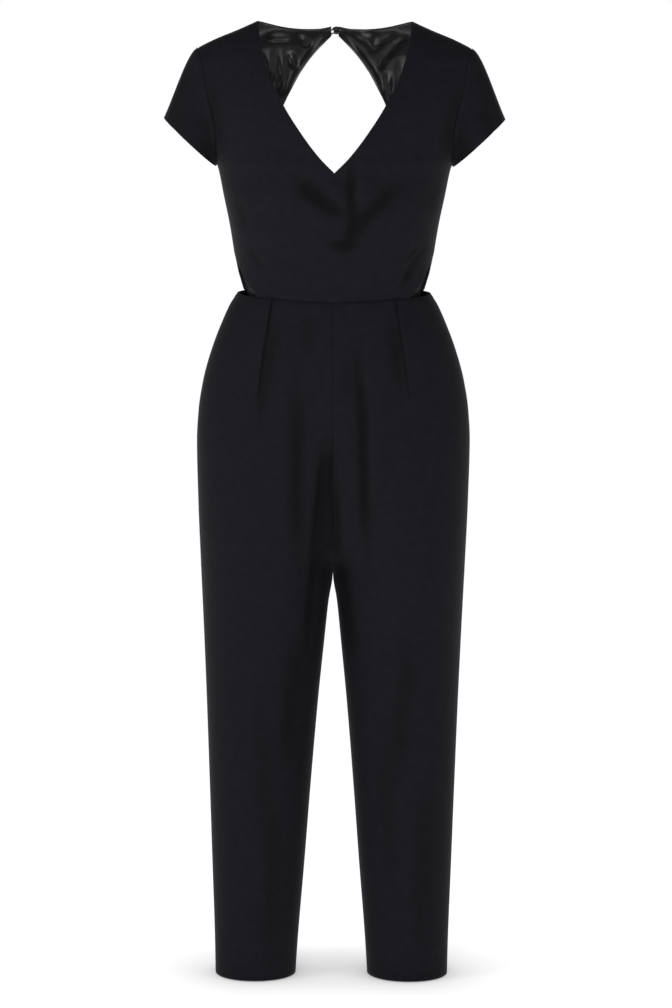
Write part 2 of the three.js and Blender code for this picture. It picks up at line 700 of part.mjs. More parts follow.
// One section of a trouser half, from its side seam to its middle seam or inseam, with its length so far
function trouserSection(side, z) {
  const power = 2 / squarenessAt(z);
  const outer = halfAt(z);
  const middle = middleAt(z);
  const inner = innerReach(side, z);
  const depth = depthAt(side, z);
  const points = [];
  for (let i = 0; i <= SECTION_STEPS; i += 1) {
    const angle = (i / SECTION_STEPS) * (Math.PI / 2);
    const x = middle + (outer - middle) * Math.cos(angle) ** power;
    points.push([x, depth * Math.sin(angle) ** power]);
  }
  const reach = middle - inner;
  const end = Math.asin((middle - Math.max(0, inner)) / Math.max(reach, 1));
  for (let i = 1; i <= SECTION_STEPS && middle > 0.5; i += 1) {
    const angle = (end * i) / SECTION_STEPS;
    points.push([middle - reach * Math.sin(angle), depth * Math.cos(angle)]);
  }
  const lengths = [0];
  for (let i = 1; i < points.length; i += 1) {
    const [x, y] = points[i];
    lengths.push(lengths[i - 1] + Math.hypot(x - points[i - 1][0], y - points[i - 1][1]));
  }
  return { side, z, points, lengths, total: lengths[lengths.length - 1] };
}

// Length along a section for a share of its columns. Near the crotch the inner columns take up the curve that
// turns under there, and the outer ones keep to the part from the side seam to the furthest point.
function lengthOf(section, share) {
  if (section.z > OUTER_COLUMNS.top || section.points.length <= SECTION_STEPS + 1) return share * section.total;
  const even = OUTER_COLUMNS.share * section.total;
  const settled = smooth((OUTER_COLUMNS.top - section.z) / OUTER_COLUMNS.fade);
  const joint = mix(even, section.lengths[SECTION_STEPS], settled);
  if (share <= OUTER_COLUMNS.share) return (share / OUTER_COLUMNS.share) * joint;
  return mix(joint, section.total, (share - OUTER_COLUMNS.share) / (1 - OUTER_COLUMNS.share));
}

// A place along a section
function along(section, length) {
  const wanted = Math.min(section.total, Math.max(0, length));
  let i = 1;
  while (i < section.lengths.length - 1 && section.lengths[i] < wanted) i += 1;
  const span = section.lengths[i] - section.lengths[i - 1];
  const t = span > 0 ? (wanted - section.lengths[i - 1]) / span : 0;
  const x = mix(section.points[i - 1][0], section.points[i][0], t) + SEAM / 2;
  const y = section.side * (mix(section.points[i - 1][1], section.points[i][1], t) + SEAM / 2);
  return new THREE.Vector3(x, y, section.z);
}

// The length along a section at which it has a given half width
function lengthAtX(section, x) {
  let i = 1;
  while (i < section.points.length - 1 && section.points[i][0] > x) i += 1;
  const t = (x - section.points[i - 1][0]) / (section.points[i][0] - section.points[i - 1][0]);
  return mix(section.lengths[i - 1], section.lengths[i], t);
}

// Trouser form by share of its section and height, with the waist seam's dip
function trouserPlace(side, share, z) {
  const section = trouserSection(side, z);
  const place = along(section, lengthOf(section, share));
  const dip = waistDip(side, place.x) * smooth(1 - (WAIST_Z - z) / DIP_FADE);
  if (Math.abs(dip) < 0.01) return place;
  const moved = trouserSection(side, z + dip);
  return along(moved, lengthOf(moved, share));
}

function trouserNormal(side, share, z) {
  const step = share > 0.5 ? -0.004 : 0.004;
  const normal = normalOf((a, b) => trouserPlace(side, a, b), share, z, step, 0.5);
  const middle = middleAt(z);
  const place = trouserPlace(side, share, z);
  const outward = new THREE.Vector3(place.x - middle * smooth((WAIST_Z - z) / 300), side * 60, 0);
  return normal.dot(outward) < 0 ? normal.negate() : normal;
}

function trouserPoint(side, share, z, folds, raise = 0) {
  const place = trouserPlace(side, share, z);
  const normal = trouserNormal(side, share, z);
  const edge = smooth(share / 0.1) * smooth((1 - share) / 0.08) * smooth((WAIST_Z - z) / 30);
  const point = clothPoint(place, normal, foldHeight(folds, place.x, place.z) * edge, WALL);
  point.out.addScaledVector(normal, raise);
  return point;
}

const pleatX = through(PLEAT_LINE, "x");
const pleatFullness = through(PLEAT_LINE, "fullness");

// A row across a trouser front where its pleat is folded or opening out
function pleatRow(z, folds) {
  const section = trouserSection(FRONT, z);
  const edge = lengthAtX(section, pleatX(z));
  const fullness = pleatFullness(z);
  const folded = smooth((fullness - 0.1) / PLEAT_OPENS_AT);
  const row = [];
  const sideSteps = 5;
  const middleSteps = 4;
  const first = edge + PLEAT[0].flat;
  for (let i = 0; i < sideSteps; i += 1) {
    row.push(trouserPoint(FRONT, (first * i) / sideSteps / section.total, z, folds));
  }
  for (const profile of PLEAT) {
    const place = edge + mix(profile.flat, profile.along, folded);
    row.push(trouserPoint(FRONT, place / section.total, z, folds, profile.height * fullness));
  }
  const last = edge + mix(PLEAT[PLEAT.length - 1].flat, PLEAT[PLEAT.length - 1].along, folded);
  for (let i = 1; i <= middleSteps; i += 1) {
    row.push(trouserPoint(FRONT, mix(last, section.total, i / middleSteps) / section.total, z, folds));
  }
  return row;
}

const OUTER_COLUMNS = { top: -600, fade: 120, share: 2 / 3 };
const FORK_HEIGHTS = [-645, -685, -720, -748, -770, -785, -794, -799];
const LEG_HEIGHTS = [-812, -832, -865, -905, -960, -1025, -1095, -1165, -1240, -1320];

function plainRow(side, z, folds, columns) {
  return steps(0, 1, columns).map((share) => trouserPoint(side, share, z, folds));
}

function trouserFront(folds) {
  const panel = newPanel();
  const top = WAIST_Z - SEAM;
  const pleated = [top, -403, -417, -434, -452, -470, -488, -506, -524, -543, -562, -579];
  const plain = [-608, ...FORK_HEIGHTS, CROTCH_Z, ...LEG_HEIGHTS, HEM_Z];
  addRows(panel, [
    ...pleated.map((z) => pleatRow(z, folds)),
    ...plain.map((z) => plainRow(FRONT, z, folds, LEG_COLUMNS)),
  ]);
  return panel;
}

function trouserBack() {
  const panel = newPanel();
  const top = WAIST_Z - SEAM;
  const heights = [top, -409, -431, -460, -495, -532, -570, -606, ...FORK_HEIGHTS, CROTCH_Z];
  const all = [...heights, ...LEG_HEIGHTS, HEM_Z];
  addRows(panel, all.map((z) => plainRow(BACK, z, TROUSER_BACK_FOLDS, BACK_LEG_COLUMNS)));
  return panel;
}

function mesh(name, geometry, material) {
  const made = new THREE.Mesh(geometry, material);
  made.name = name;
  return made;
}

function cloth(name, panel, material) {
  return mesh(name, thicken(panel), material);
}

// The button and its loop stand on the end of the left back panel, square to the cloth there
function onNape(pieces) {
  const group = new THREE.Group();
  const angle = bodiceAngle(BUTTON.x, BUTTON.z);
  const normal = bodiceNormal(BACK, angle, BUTTON.z);
  normal.x = 0;
  normal.normalize();
  group.position.copy(bodicePoint(BACK, angle, BUTTON.z));
  group.position.addScaledVector(normal, BUTTON.off + BUTTON.depth / 2);
  group.quaternion.setFromUnitVectors(new THREE.Vector3(0, 1, 0), normal);
  group.add(...pieces);
  return group;
}

function napeButton() {
  const { radius, depth } = BUTTON;
  const profile = [
    [0, -depth / 2],
    [radius * 0.55, -depth / 2],
    [radius * 0.9, -depth * 0.3],
    [radius, 0],
    [radius * 0.88, depth * 0.27],
    [radius * 0.5, depth * 0.46],
    [0, depth / 2],
  ];
  const points = profile.map(([r, y]) => new THREE.Vector2(r, y));
  return mesh("nape_button", new THREE.LatheGeometry(points, 16), satin);
}

// A cord from the end of the right back panel round the button, in the button's own plane
function napeLoop() {
  const reach = BUTTON.radius + LOOP_CLEARANCE + LOOP_CORD / 2;
  const end = -NECK_BACK[0].x - BUTTON.x + SEAM;
  const low = -BUTTON.off - BUTTON.depth / 2 - WALL / 2;
  const round = steps(-LOOP_TURN, LOOP_TURN, 6).map((degrees) => {
    const angle = THREE.MathUtils.degToRad(degrees);
    return [reach * Math.cos(angle), 0, reach * Math.sin(angle)];
  });
  const points = [
    [end, low, -LOOP_ROOT],
    [end + 2.2, low + 0.6, -LOOP_ROOT - 0.7],
    ...round,
    [end + 2.2, low + 0.6, LOOP_ROOT + 0.7],
    [end, low, LOOP_ROOT],
  ];
  const path = new THREE.CatmullRomCurve3(points.map((p) => new THREE.Vector3(...p)));
  const corners = steps(0, 315, 7).map((degrees) => {
    const angle = THREE.MathUtils.degToRad(degrees);
    return new THREE.Vector2(Math.cos(angle), Math.sin(angle)).multiplyScalar(LOOP_CORD / 2);
  });
  const geometry = new THREE.ExtrudeGeometry(new THREE.Shape(corners), { steps: 22, extrudePath: path });
  return mesh("nape_loop", geometry, satin);
}

const jumpsuit = new THREE.Group();
jumpsuit.name = "jumpsuit";
const back = bodiceBack();
const lining = backLining();
const sleeveRight = sleeve();
const backLeg = trouserBack();
jumpsuit.add(
  cloth("bodice_front", bodiceFront(), crepe),
  cloth("bodice_back_left", back, crepe),
  cloth("bodice_back_right", mirroredPanel(back), crepe),
  cloth("back_lining_left", lining, satin),
  cloth("back_lining_right", mirroredPanel(lining), satin),
  cloth("sleeve_left", sleeveRight, crepe),
  cloth("sleeve_right", mirroredPanel(sleeveRight), crepe),
  cloth("trouser_front_left", trouserFront(TROUSER_LEFT_FOLDS), crepe),
  cloth("trouser_front_right", mirroredPanel(trouserFront(TROUSER_RIGHT_FOLDS)), crepe),
  cloth("trouser_back_left", backLeg, crepe),
  cloth("trouser_back_right", mirroredPanel(backLeg), crepe),
  onNape([napeButton(), napeLoop()]),
);

export default jumpsuit;
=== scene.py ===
import math

import bpy
import numpy as np
from mathutils import Matrix, Vector


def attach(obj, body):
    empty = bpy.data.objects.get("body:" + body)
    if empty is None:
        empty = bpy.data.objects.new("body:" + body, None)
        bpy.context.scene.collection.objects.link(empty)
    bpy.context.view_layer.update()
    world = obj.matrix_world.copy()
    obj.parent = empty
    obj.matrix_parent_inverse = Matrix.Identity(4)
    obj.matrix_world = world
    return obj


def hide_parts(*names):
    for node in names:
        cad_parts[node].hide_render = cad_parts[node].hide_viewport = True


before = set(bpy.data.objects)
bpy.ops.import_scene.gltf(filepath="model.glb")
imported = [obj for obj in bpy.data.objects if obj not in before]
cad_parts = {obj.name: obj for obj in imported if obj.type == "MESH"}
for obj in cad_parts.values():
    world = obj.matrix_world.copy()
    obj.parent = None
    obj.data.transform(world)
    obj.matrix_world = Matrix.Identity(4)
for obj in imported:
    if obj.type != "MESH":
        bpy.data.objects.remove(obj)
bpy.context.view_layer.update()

MM = 0.001
FRONT = -1.0
BACK = 1.0

# Cloth
CREPE_THICKNESS = 0.9
SEAM_ALLOWANCE = 4
SATIN_THICKNESS = 0.4
LINING_DEPTH = 1.5

# Heights of the main lines
NECK_POINT = (110.5, -1.5)
SHOULDER_TIP_Z = -41
V_POINT_Z = -213.7
UNDERARM_Z = -206
CUTOUT_APEX_Z = -322
KEYHOLE_END_Z = -347
WAIST_Z = -391
CROTCH_Z = -801
HEM_Z = -1402

# The waist seam dips at the front and rises a little at the back
WAIST_HALF = 141.5
FRONT_DIP = 7
FRONT_DIP_POWER = 1.15
BACK_RISE = 4
DIP_FADE = 60


def table(names, rows):
    return dict(zip(names.split(), np.array(rows, float).T))


# Form of the body at each height: half width, reach to the front and the back, and squareness of its section
BODY = table(
    "z half front back square",
    [
        (0, 107, 3, 42, 2.2),
        (-14, 138, 27, 67, 2.1),
        (-28, 172, 44, 77, 1.9),
        (-42, 199, 57, 84, 1.75),
        (-60, 224, 70, 91, 1.65),
        (-100, 228, 92, 101, 1.7),
        (-150, 202, 108, 108, 1.9),
        (-185, 178, 114, 109, 2.15),
        (-206, 169.2, 117, 108, 2.3),
        (-213, 166.9, 117, 107, 2.3),
        (-250, 159.4, 121, 103, 2.4),
        (-290, 151.1, 117, 97, 2.4),
        (-329, 144.8, 107, 91, 2.4),
        (-358, 140.8, 98, 87, 2.4),
        (-375, 140.2, 94, 85, 2.4),
        (-391, 141.5, 89, 85, 2.4),
        (-409, 151, 93, 90, 2.4),
        (-431, 161, 98, 97, 2.4),
        (-475, 177.7, 106, 109, 2.4),
        (-518, 189.4, 111, 118, 2.35),
        (-562, 196.2, 114, 123, 2.35),
        (-606, 198.6, 115, 124, 2.35),
        (-694, 196.7, 112, 118, 2.3),
        (-783, 193.2, 104, 109, 2.2),
        (-842, 190.6, 96, 100, 2.15),
        (-902, 188.1, 88, 92, 2.1),
        (-991, 184.7, 80, 83, 2.1),
        (-1112, 180.7, 72, 74, 2.1),
        (-1233, 176.9, 65, 66.5, 2.1),
        (-1355, 173.1, 58.5, 59.5, 2.1),
        (-1402, 172.3, 56, 57, 2.1),
    ],
)

# How far from the middle plane each trouser reaches furthest forward and back, and its inner edge
LEG = table(
    "z middle inner",
    [
        (-391, 0, 0),
        (-518, 0, 0),
        (-606, 24, 0),
        (-694, 60, 0),
        (-783, 90, 0),
        (-801, 95, 0),
        (-842, 98, 5.9),
        (-902, 100.1, 12.1),
        (-991, 102.8, 20.9),
        (-1112, 105.9, 31),
        (-1233, 108.6, 40.2),
        (-1355, 111.6, 50),
        (-1402, 112.7, 53),
    ],
)

# Above the crotch each leg would reach past the middle plane, by rate times a power of the height above it, once
# clear of the fork
MERGE = {FRONT: (0.56, 1.28), BACK: (0.4, 1.25)}
FORK_HEIGHT = 80

# Edges of the bodice
NECK_V = table(
    "z x", [(-1.5, 110.5), (-29, 106.7), (-75, 94), (-119, 72.5), (-163, 44), (-193, 20.5), (-213.7, 0)]
)
ARMHOLE = {
    FRONT: table(
        "z x", [(-41, 197.6), (-63, 189.3), (-104, 183), (-137, 175.2), (-176, 169.4), (-198, 168.6), (-206, 169.1)]
    ),
    BACK: table(
        "z x", [(-41, 197.6), (-63, 194), (-104, 190), (-137, 184), (-176, 174.5), (-198, 170), (-206, 169.1)]
    ),
}
KEYHOLE = table(
    "z x",
    [
        (-22, 5.5),
        (-31.8, 15.7),
        (-44.8, 28.3),
        (-58, 38.7),
        (-75.3, 50.1),
        (-101.6, 64.4),
        (-119.2, 73.2),
        (-150, 85.5),
        (-185, 93.5),
        (-215, 96),
        (-250, 91.5),
        (-285, 79),
        (-312, 62),
        (-332, 41),
        (-344, 19),
        (KEYHOLE_END_Z, 0),
    ],
)
NECK_BACK = table(
    "x z", [(5.5, -9.5), (24, -12.8), (42, -13.2), (60, -12.2), (78, -9.6), (95, -5.6), (110.5, -1.5)]
)
# Edges of the side cut-out, as how far each lies in front of the side and behind it
CUTOUT = table(
    "z front back",
    [(-322, 0, 0), (-331, 11, 3), (-343, 25, 8), (-358, 42, 17), (-375, 56, 29), (-391, 64.7, 39.7)],
)

# The pleat of each trouser front: its folded edge, and how full it is
PLEAT_LINE = table(
    "z x fullness",
    [
        (-391, 89, 0.55),
        (-425, 94, 1),
        (-470, 101, 1),
        (-500, 105.5, 0.75),
        (-530, 109, 0.45),
        (-560, 112, 0.15),
        (-580, 114, 0),
    ],
)
# Its outline across the fold: the way to the middle of the body, the same once it has opened out, and its height
PLEAT = table(
    "along flat height",
    [
        (-45, -45, 0),
        (-26, -28, 1.0),
        (-12, -17, 2.8),
        (-3.5, -9, 4.2),
        (0, -4, 4.4),
        (1.0, 0, 3.6),
        (0.6, 3, 2.7),
        (-1.6, 6, 1.7),
        (-2.3, 9, 0.9),
        (-1.2, 12, 0.2),
        (2.5, 16, 0),
        (13, 22, 0),
    ],
)
PLEAT_END_Z = -580
PLEAT_OPENS_AT = 0.5

# Sleeves
SLEEVE_TIP = (244.6, -140.5)
SLEEVE_UNDERARM = (171.4, -208.6)
SLEEVE_HALF_DEPTH = 57
SLEEVE_FALL = (0.42, 0, -0.9)
SLEEVE_LEAVING = 0.5


def mix(a, b, t):
    return a + (b - a) * t


def smooth(t):
    t = np.clip(t, 0, 1)
    return t * t * (3 - 2 * t)


def through(rows, key, by="z"):
    """A smooth curve through one column of a table, with no overshoot between its rows."""
    order = np.argsort(rows[by])
    at = rows[by][order]
    value = rows[key][order]
    rise = np.diff(value) / np.diff(at)
    slope = np.concatenate([rise[:1], np.zeros(len(at) - 2), rise[-1:]])
    product = rise[:-1] * rise[1:]
    total = rise[:-1] + rise[1:]
    turns = product > 0
    slope[1:-1][turns] = 2 * product[turns] / total[turns]

    def curve(wanted):
        wanted = np.asarray(wanted, float)
        i = np.clip(np.searchsorted(at, wanted) - 1, 0, len(at) - 2)
        span = at[i + 1] - at[i]
        t = np.clip((wanted - at[i]) / span, 0, 1)
        level = value[i] * (1 + 2 * t) * (1 - t) ** 2 + value[i + 1] * t * t * (3 - 2 * t)
        return level + span * (slope[i] * t * (1 - t) ** 2 - slope[i + 1] * t * t * (1 - t))

    return curve


half_at = through(BODY, "half")
reach_at = {FRONT: through(BODY, "front"), BACK: through(BODY, "back")}
squareness_at = through(BODY, "square")
middle_at = through(LEG, "middle")
inner_at = through(LEG, "inner")
neck_v = through(NECK_V, "x")
armhole = {side: through(ARMHOLE[side], "x") for side in (FRONT, BACK)}
keyhole = through(KEYHOLE, "x")
neck_back = through(NECK_BACK, "z", "x")
cutout = {FRONT: through(CUTOUT, "front"), BACK: through(CUTOUT, "back")}
pleat_x = through(PLEAT_LINE, "x")
pleat_fullness = through(PLEAT_LINE, "fullness")


# The share of its length over which a fold fades out at each end
FOLD_FADE = 0.42


def fold_height(folds, x, z):
    """Height of soft folds at places in the front view. Each fold is its width, its height, and the points (x, z)
    that it runs through; it fades out at both ends."""
    height = np.zeros(np.broadcast(x, z).shape)
    for width, tall, *points in folds:
        lengths = [math.dist(p, q) for p, q in zip(points, points[1:])]
        nearest = np.full(height.shape, np.inf)
        share = np.zeros(height.shape)
        done = 0
        for (x1, z1), (x2, z2), length in zip(points, points[1:], lengths):
            t = ((x - x1) * (x2 - x1) + (z - z1) * (z2 - z1)) / length**2
            t = np.clip(t, 0, 1)
            away = np.hypot(x - mix(x1, x2, t), z - mix(z1, z2, t))
            closer = away < nearest
            nearest = np.where(closer, away, nearest)
            share = np.where(closer, (done + t * length) / sum(lengths), share)
            done += length
        fade = smooth(share / FOLD_FADE + 0.15) * smooth((1 - share) / FOLD_FADE + 0.15)
        height += tall * np.exp(-((nearest / width) ** 2)) * fade
    return height


def waist_dip(side, x):
    share = np.clip(np.abs(x) / WAIST_HALF, 0, 1)
    if side == FRONT:
        return -FRONT_DIP * (1 - share**FRONT_DIP_POWER)
    return BACK_RISE * (1 - share**2)


def bodice_place(side, angle, z):
    """A place on the bodice form: angle 0 is the side and a quarter turn is the middle."""
    power = 2 / squareness_at(z)
    x = half_at(z) * np.maximum(0, np.cos(angle)) ** power
    y = side * reach_at[side](z) * np.maximum(0, np.sin(angle)) ** power
    return np.stack(np.broadcast_arrays(x, y, z), -1).astype(float)


def bodice_angle(x, z):
    ratio = np.clip(x / half_at(z), 0, 1)
    return np.arccos(ratio ** (squareness_at(z) / 2))


def unit(vectors):
    return vectors / np.maximum(np.linalg.norm(vectors, axis=-1, keepdims=True), 1e-12)


def bodice_normal(side, angle, z):
    step = np.where(angle > math.pi / 4, -0.004, 0.004)
    around = (bodice_place(side, angle + step, z) - bodice_place(side, angle, z)) / step[..., None]
    up = bodice_place(side, angle, z + 0.5) - bodice_place(side, angle, z - 0.5)
    normal = unit(np.cross(around, up))
    outward = normal[..., 0] + side * normal[..., 1]
    return np.where(outward[..., None] < 0, -normal, normal)


def row_lengths(grid):
    """Length along each row of a grid of places, from its first column."""
    steps = np.linalg.norm(np.diff(grid, axis=1), axis=-1)
    return np.concatenate([np.zeros((len(grid), 1)), np.cumsum(steps, axis=1)], axis=1)


def edge_distances(grid):
    """How far each place of a grid is from its first and last column and its first and last row."""
    along = row_lengths(grid)
    up = row_lengths(grid.transpose(1, 0, 2)).T
    return {"first": along, "last": along[:, -1:] - along, "bottom": up, "top": up[-1:] - up}


ROLL_DEPTH = 0.9
ROLL_WIDTH = 1.8


def seam_roll(grid, edges, depth=ROLL_DEPTH, width=ROLL_WIDTH):
    """How far the cloth turns in at the named edges of a grid, where it is sewn."""
    distances = edge_distances(grid)
    roll = np.zeros(grid.shape[:2])
    for edge in edges:
        roll -= depth * np.exp(-((distances[edge] / width) ** 2))
    return roll


def with_allowance(grid, normal, edges, painted_amount):
    """The grid with a strip along each named edge that turns in, as a sewn seam's allowance does, and with the
    depth of its creases as a fourth value at each place, which sets the painted shade in the crepe's creases and the
    painted highlight on the lining beside the side cut-out."""
    grid = np.concatenate([grid, painted_amount[..., None]], -1)
    inward = np.concatenate([normal * -SEAM_ALLOWANCE, np.zeros_like(painted_amount)[..., None]], -1)
    if "bottom" in edges:
        grid = np.concatenate([grid[:1] + inward[:1], grid])
        inward = np.concatenate([inward[:1], inward])
    if "top" in edges:
        grid = np.concatenate([grid, grid[-1:] + inward[-1:]])
        inward = np.concatenate([inward, inward[-1:]])
    if "first" in edges:
        grid = np.concatenate([grid[:, :1] + inward[:, :1], grid], axis=1)
        inward = np.concatenate([inward[:, :1], inward], axis=1)
    if "last" in edges:
        grid = np.concatenate([grid, grid[:, -1:] + inward[:, -1:]], axis=1)
    return grid


def painted_shade_and_highlight(height, full=4.0):
    """How deep in a crease each place lies, from 0 to 1: the amount of painted shade on the crepe and of painted
    highlight on the lining.
    """
    return np.clip(-height / full, 0, 1)


def spaced(count, fine=(0, 0.0012, 0.003, 0.007, 0.013)):
    """Shares from 0 to 1, evenly spaced but for a few close to each end."""
    even = np.linspace(0.02, 0.98, count)
    near = np.array(fine)
    return np.concatenate([near, even, 1 - near[::-1]])


ROW_SAMPLES = 400


def bodice_rows(side, start, end, shares):
    """Rows on the bodice form, straight in the front view from start to end, (x, z) of each row, with columns at
    the given shares of their length. Gives the angle and the height of each place."""
    t = np.linspace(0, 1, ROW_SAMPLES)[None, :]
    z = mix(start[1][:, None], end[1][:, None], t)
    x = mix(start[0][:, None], end[0][:, None], t)
    lengths = row_lengths(bodice_place(side, bodice_angle(x, z), z))
    picked = np.array([np.interp(shares * row[-1], row, t[0]) for row in lengths])
    z = mix(start[1][:, None], end[1][:, None], picked)
    x = mix(start[0][:, None], end[0][:, None], picked)
    return bodice_angle(x, z), z


def blended(bottom, top, first, last):
    """A patch blended between four edges, each a list of (angle, height)."""
    v = np.linspace(0, 1, len(first))[:, None, None]
    u = np.linspace(0, 1, len(bottom))[None, :, None]
    rails = mix(bottom[None], top[None], v) + mix(first[:, None], last[:, None], u)
    corners = mix(mix(bottom[0], bottom[-1], u), mix(top[0], top[-1], u), v)
    patch = rails - corners
    return np.maximum(0, patch[..., 0]), patch[..., 1]


def on_form(x, z):
    x, z = np.broadcast_arrays(np.asarray(x, float), np.asarray(z, float))
    return np.stack([bodice_angle(x, z), z], -1)


def mirror(grid):
    return grid * np.array([-1.0, 1.0, 1.0, 1.0])


def make_mesh(name, grids, closed=False):
    """One mesh of several grids of places, welded where they meet, with its faces turned outwards."""
    places = []
    faces = []
    for grid in grids:
        rows, columns = grid.shape[:2]
        start = len(places)
        places.extend(grid.reshape(-1, 4).tolist())
        last = columns if closed else columns - 1
        for r in range(rows - 1):
            for c in range(last):
                a = start + r * columns + c
                b = start + r * columns + (c + 1) % columns
                faces.append((a, b, b + columns, a + columns))
    mesh = bpy.data.meshes.new(name)
    places = np.array(places)
    mesh.from_pydata((places[:, :3] * MM).tolist(), [], faces)
    # Painted shade and highlight: each place's crease depth, which darkens the crepe's colour in its creases and
    # lightens the lining's beside the side cut-out
    painted_mask = mesh.attributes.new("painted_shade_and_highlight", "FLOAT", "POINT")
    painted_mask.data.foreach_set("value", places[:, 3])
    piece = bpy.data.objects.new(name, mesh)
    bpy.context.scene.collection.objects.link(piece)
    weld = piece.modifiers.new("weld", "WELD")
    weld.merge_threshold = 0.02 * MM
    for polygon in mesh.polygons:
        polygon.use_smooth = True
    return piece


def oriented(grids, centre):
    """The grids with their columns reversed where needed, so that faces look away from a centre line."""
    made = []
    for grid in grids:
        places = grid[..., :3]
        middle = places[len(grid) // 2, grid.shape[1] // 2]
        right = places[len(grid) // 2, grid.shape[1] // 2 + 1] - middle
        up = places[len(grid) // 2 + 1, grid.shape[1] // 2] - middle
        facing = np.dot(np.cross(right, up), middle - centre(middle))
        made.append(grid if facing > 0 else grid[:, ::-1])
    return made


def body_axis(place):
    return np.array([0.0, 0.0, place[2]])


def leg_axis(place):
    return np.array([math.copysign(float(middle_at(place[2])), place[0]), 0.0, place[2]])


def arm_axis(place):
    centre_x = (SLEEVE_TIP[0] + SLEEVE_UNDERARM[0]) / 2
    return np.array([math.copysign(centre_x - 15, place[0]), 0.0, place[2]])


def cloth(name, node, grids, slot, thickness, axis, closed=False):
    piece = make_mesh(name, oriented(grids, axis), closed)
    solid = piece.modifiers.new("thickness", "SOLIDIFY")
    solid.thickness = thickness * MM
    solid.offset = -1
    solid.use_even_offset = False
    piece.data.materials.append(MATERIALS[slot])
    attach(piece, "root")
    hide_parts(node)
    return piece


# Creases of each piece: width, height, and points (x, z). Troughs are negative and ridges positive.
BODICE_FRONT_FOLDS = [
    (12, -5.2, (-58, -216), (-38, -236), (-16, -254), (20, -278)),
    (12, -5.0, (98, -222), (56, -266), (32, -294), (12, -324)),
    (7, -4.6, (24, -192), (24, -248), (28, -280), (19, -316)),
    (8, -4.0, (-10, -312), (12, -319), (36, -312)),
    (11, 3.0, (-2, -222), (8, -256)),
    (12, 2.6, (50, -216), (40, -256)),
    (16, 2.4, (-46, -266), (-6, -296)),
    (16, 2.0, (84, -262), (50, -304)),
    (9, -2.2, (-178, -70), (-170, -128), (-160, -190)),
    (8, -2.4, (176, -84), (168, -140), (156, -200)),
    (12, -1.8, (150, -226), (128, -268)),
    (7, -1.8, (-136, -250), (-124, -296)),
    (6, -2.2, (-120, -322), (-104, -352)),
    (5, -2.8, (132, -316), (112, -344), (98, -372)),
    (4, -2.4, (118, -318), (102, -340)),
    (5, -2.2, (110, -352), (92, -384)),
]
BODICE_BACK_FOLDS = [
    (11, -3.4, (100, -96), (136, -136), (168, -152)),
    (12, -2.8, (120, -214), (112, -262), (90, -318)),
    (9, -2.4, (150, -226), (138, -278), (122, -320)),
    (10, -2.6, (20, -366), (60, -352), (104, -352)),
    (8, 2.0, (112, -120), (150, -178)),
]
LINING_LEFT_FOLDS = [
    (5, 6.0, (12, -18), (34, -46), (56, -78), (74, -112)),
    (5, 4.5, (30, -17), (50, -24), (60, -40)),
    (4, 5.5, (106, -19), (90, -32), (72, -54), (66, -74)),
    (4, 4.0, (92, -14), (72, -26), (52, -44)),
    (6, 5.5, (100, -50), (98, -84), (90, -120)),
    (5, 4.5, (78, -72), (80, -100), (84, -124)),
    (8, 4.0, (126, -70), (116, -130), (104, -180)),
    (9, 3.5, (140, -240), (118, -300), (104, -348)),
    (7, 8.5, (124, -338), (114, -362), (108, -390)),
    (4, 4.5, (136, -348), (122, -358), (112, -372)),
    (4, 4.0, (134, -372), (120, -374), (104, -384)),
]
LINING_RIGHT_FOLDS = [
    (5, 6.0, (12, -18), (30, -40), (52, -72), (72, -108)),
    (6, 5.0, (101, -26), (84, -22), (64, -24)),
    (4, 5.5, (66, -44), (62, -60), (56, -70)),
    (4, 4.5, (52, -20), (44, -30), (36, -36)),
    (6, 5.0, (100, -40), (96, -66), (94, -90)),
    (5, 5.0, (80, -40), (76, -78), (82, -112)),
    (8, 4.0, (124, -84), (112, -140), (106, -186)),
    (9, 3.5, (138, -236), (120, -296), (102, -344)),
    (7, 8.0, (122, -340), (116, -366), (106, -390)),
    (4, 3.5, (134, -352), (122, -366), (112, -378)),
]
TROUSER_LEFT_FOLDS = [
    (8, -4.4, (32, -440), (38, -507), (43, -568), (44, -650), (50, -790)),
    (14, 1.8, (62, -430), (66, -540), (70, -680)),
    (9, -2.2, (82, -412), (90, -470), (98, -530)),
    (6, -2.6, (3, -600), (3, -680), (6, -760)),
    (8, -2.6, (9, -740), (20, -830), (32, -930)),
    (8, -3.0, (3, -660), (5, -790)),
    (12, -1.6, (22, -470), (18, -540)),
    (16, -2.2, (112, -860), (104, -980), (92, -1110)),
    (13, -1.8, (72, -1010), (82, -1140), (88, -1270)),
    (15, -1.8, (140, -1080), (134, -1230), (128, -1370)),
    (14, 1.6, (126, -640), (134, -740), (132, -850)),
]
TROUSER_RIGHT_FOLDS = [
    (12, -3.8, (52, -480), (51, -578), (52, -680), (48, -800)),
    (10, -2.0, (36, -410), (38, -470)),
    (9, -2.6, (78, -408), (92, -480), (104, -548), (112, -590)),
    (7, -5.2, (9, -570), (16, -653), (23, -740), (30, -830), (38, -930)),
    (5, -3.4, (2, -590), (2, -680), (4, -760)),
    (13, -7.0, (5, -600), (12, -700), (16, -790)),
    (14, -2.6, (46, -860), (58, -980), (66, -1100)),
    (15, -1.8, (104, -960), (98, -1090), (92, -1210)),
    (13, -2.0, (78, -1120), (84, -1250), (90, -1390)),
    (16, 1.6, (124, -560), (130, -690), (126, -820)),
]
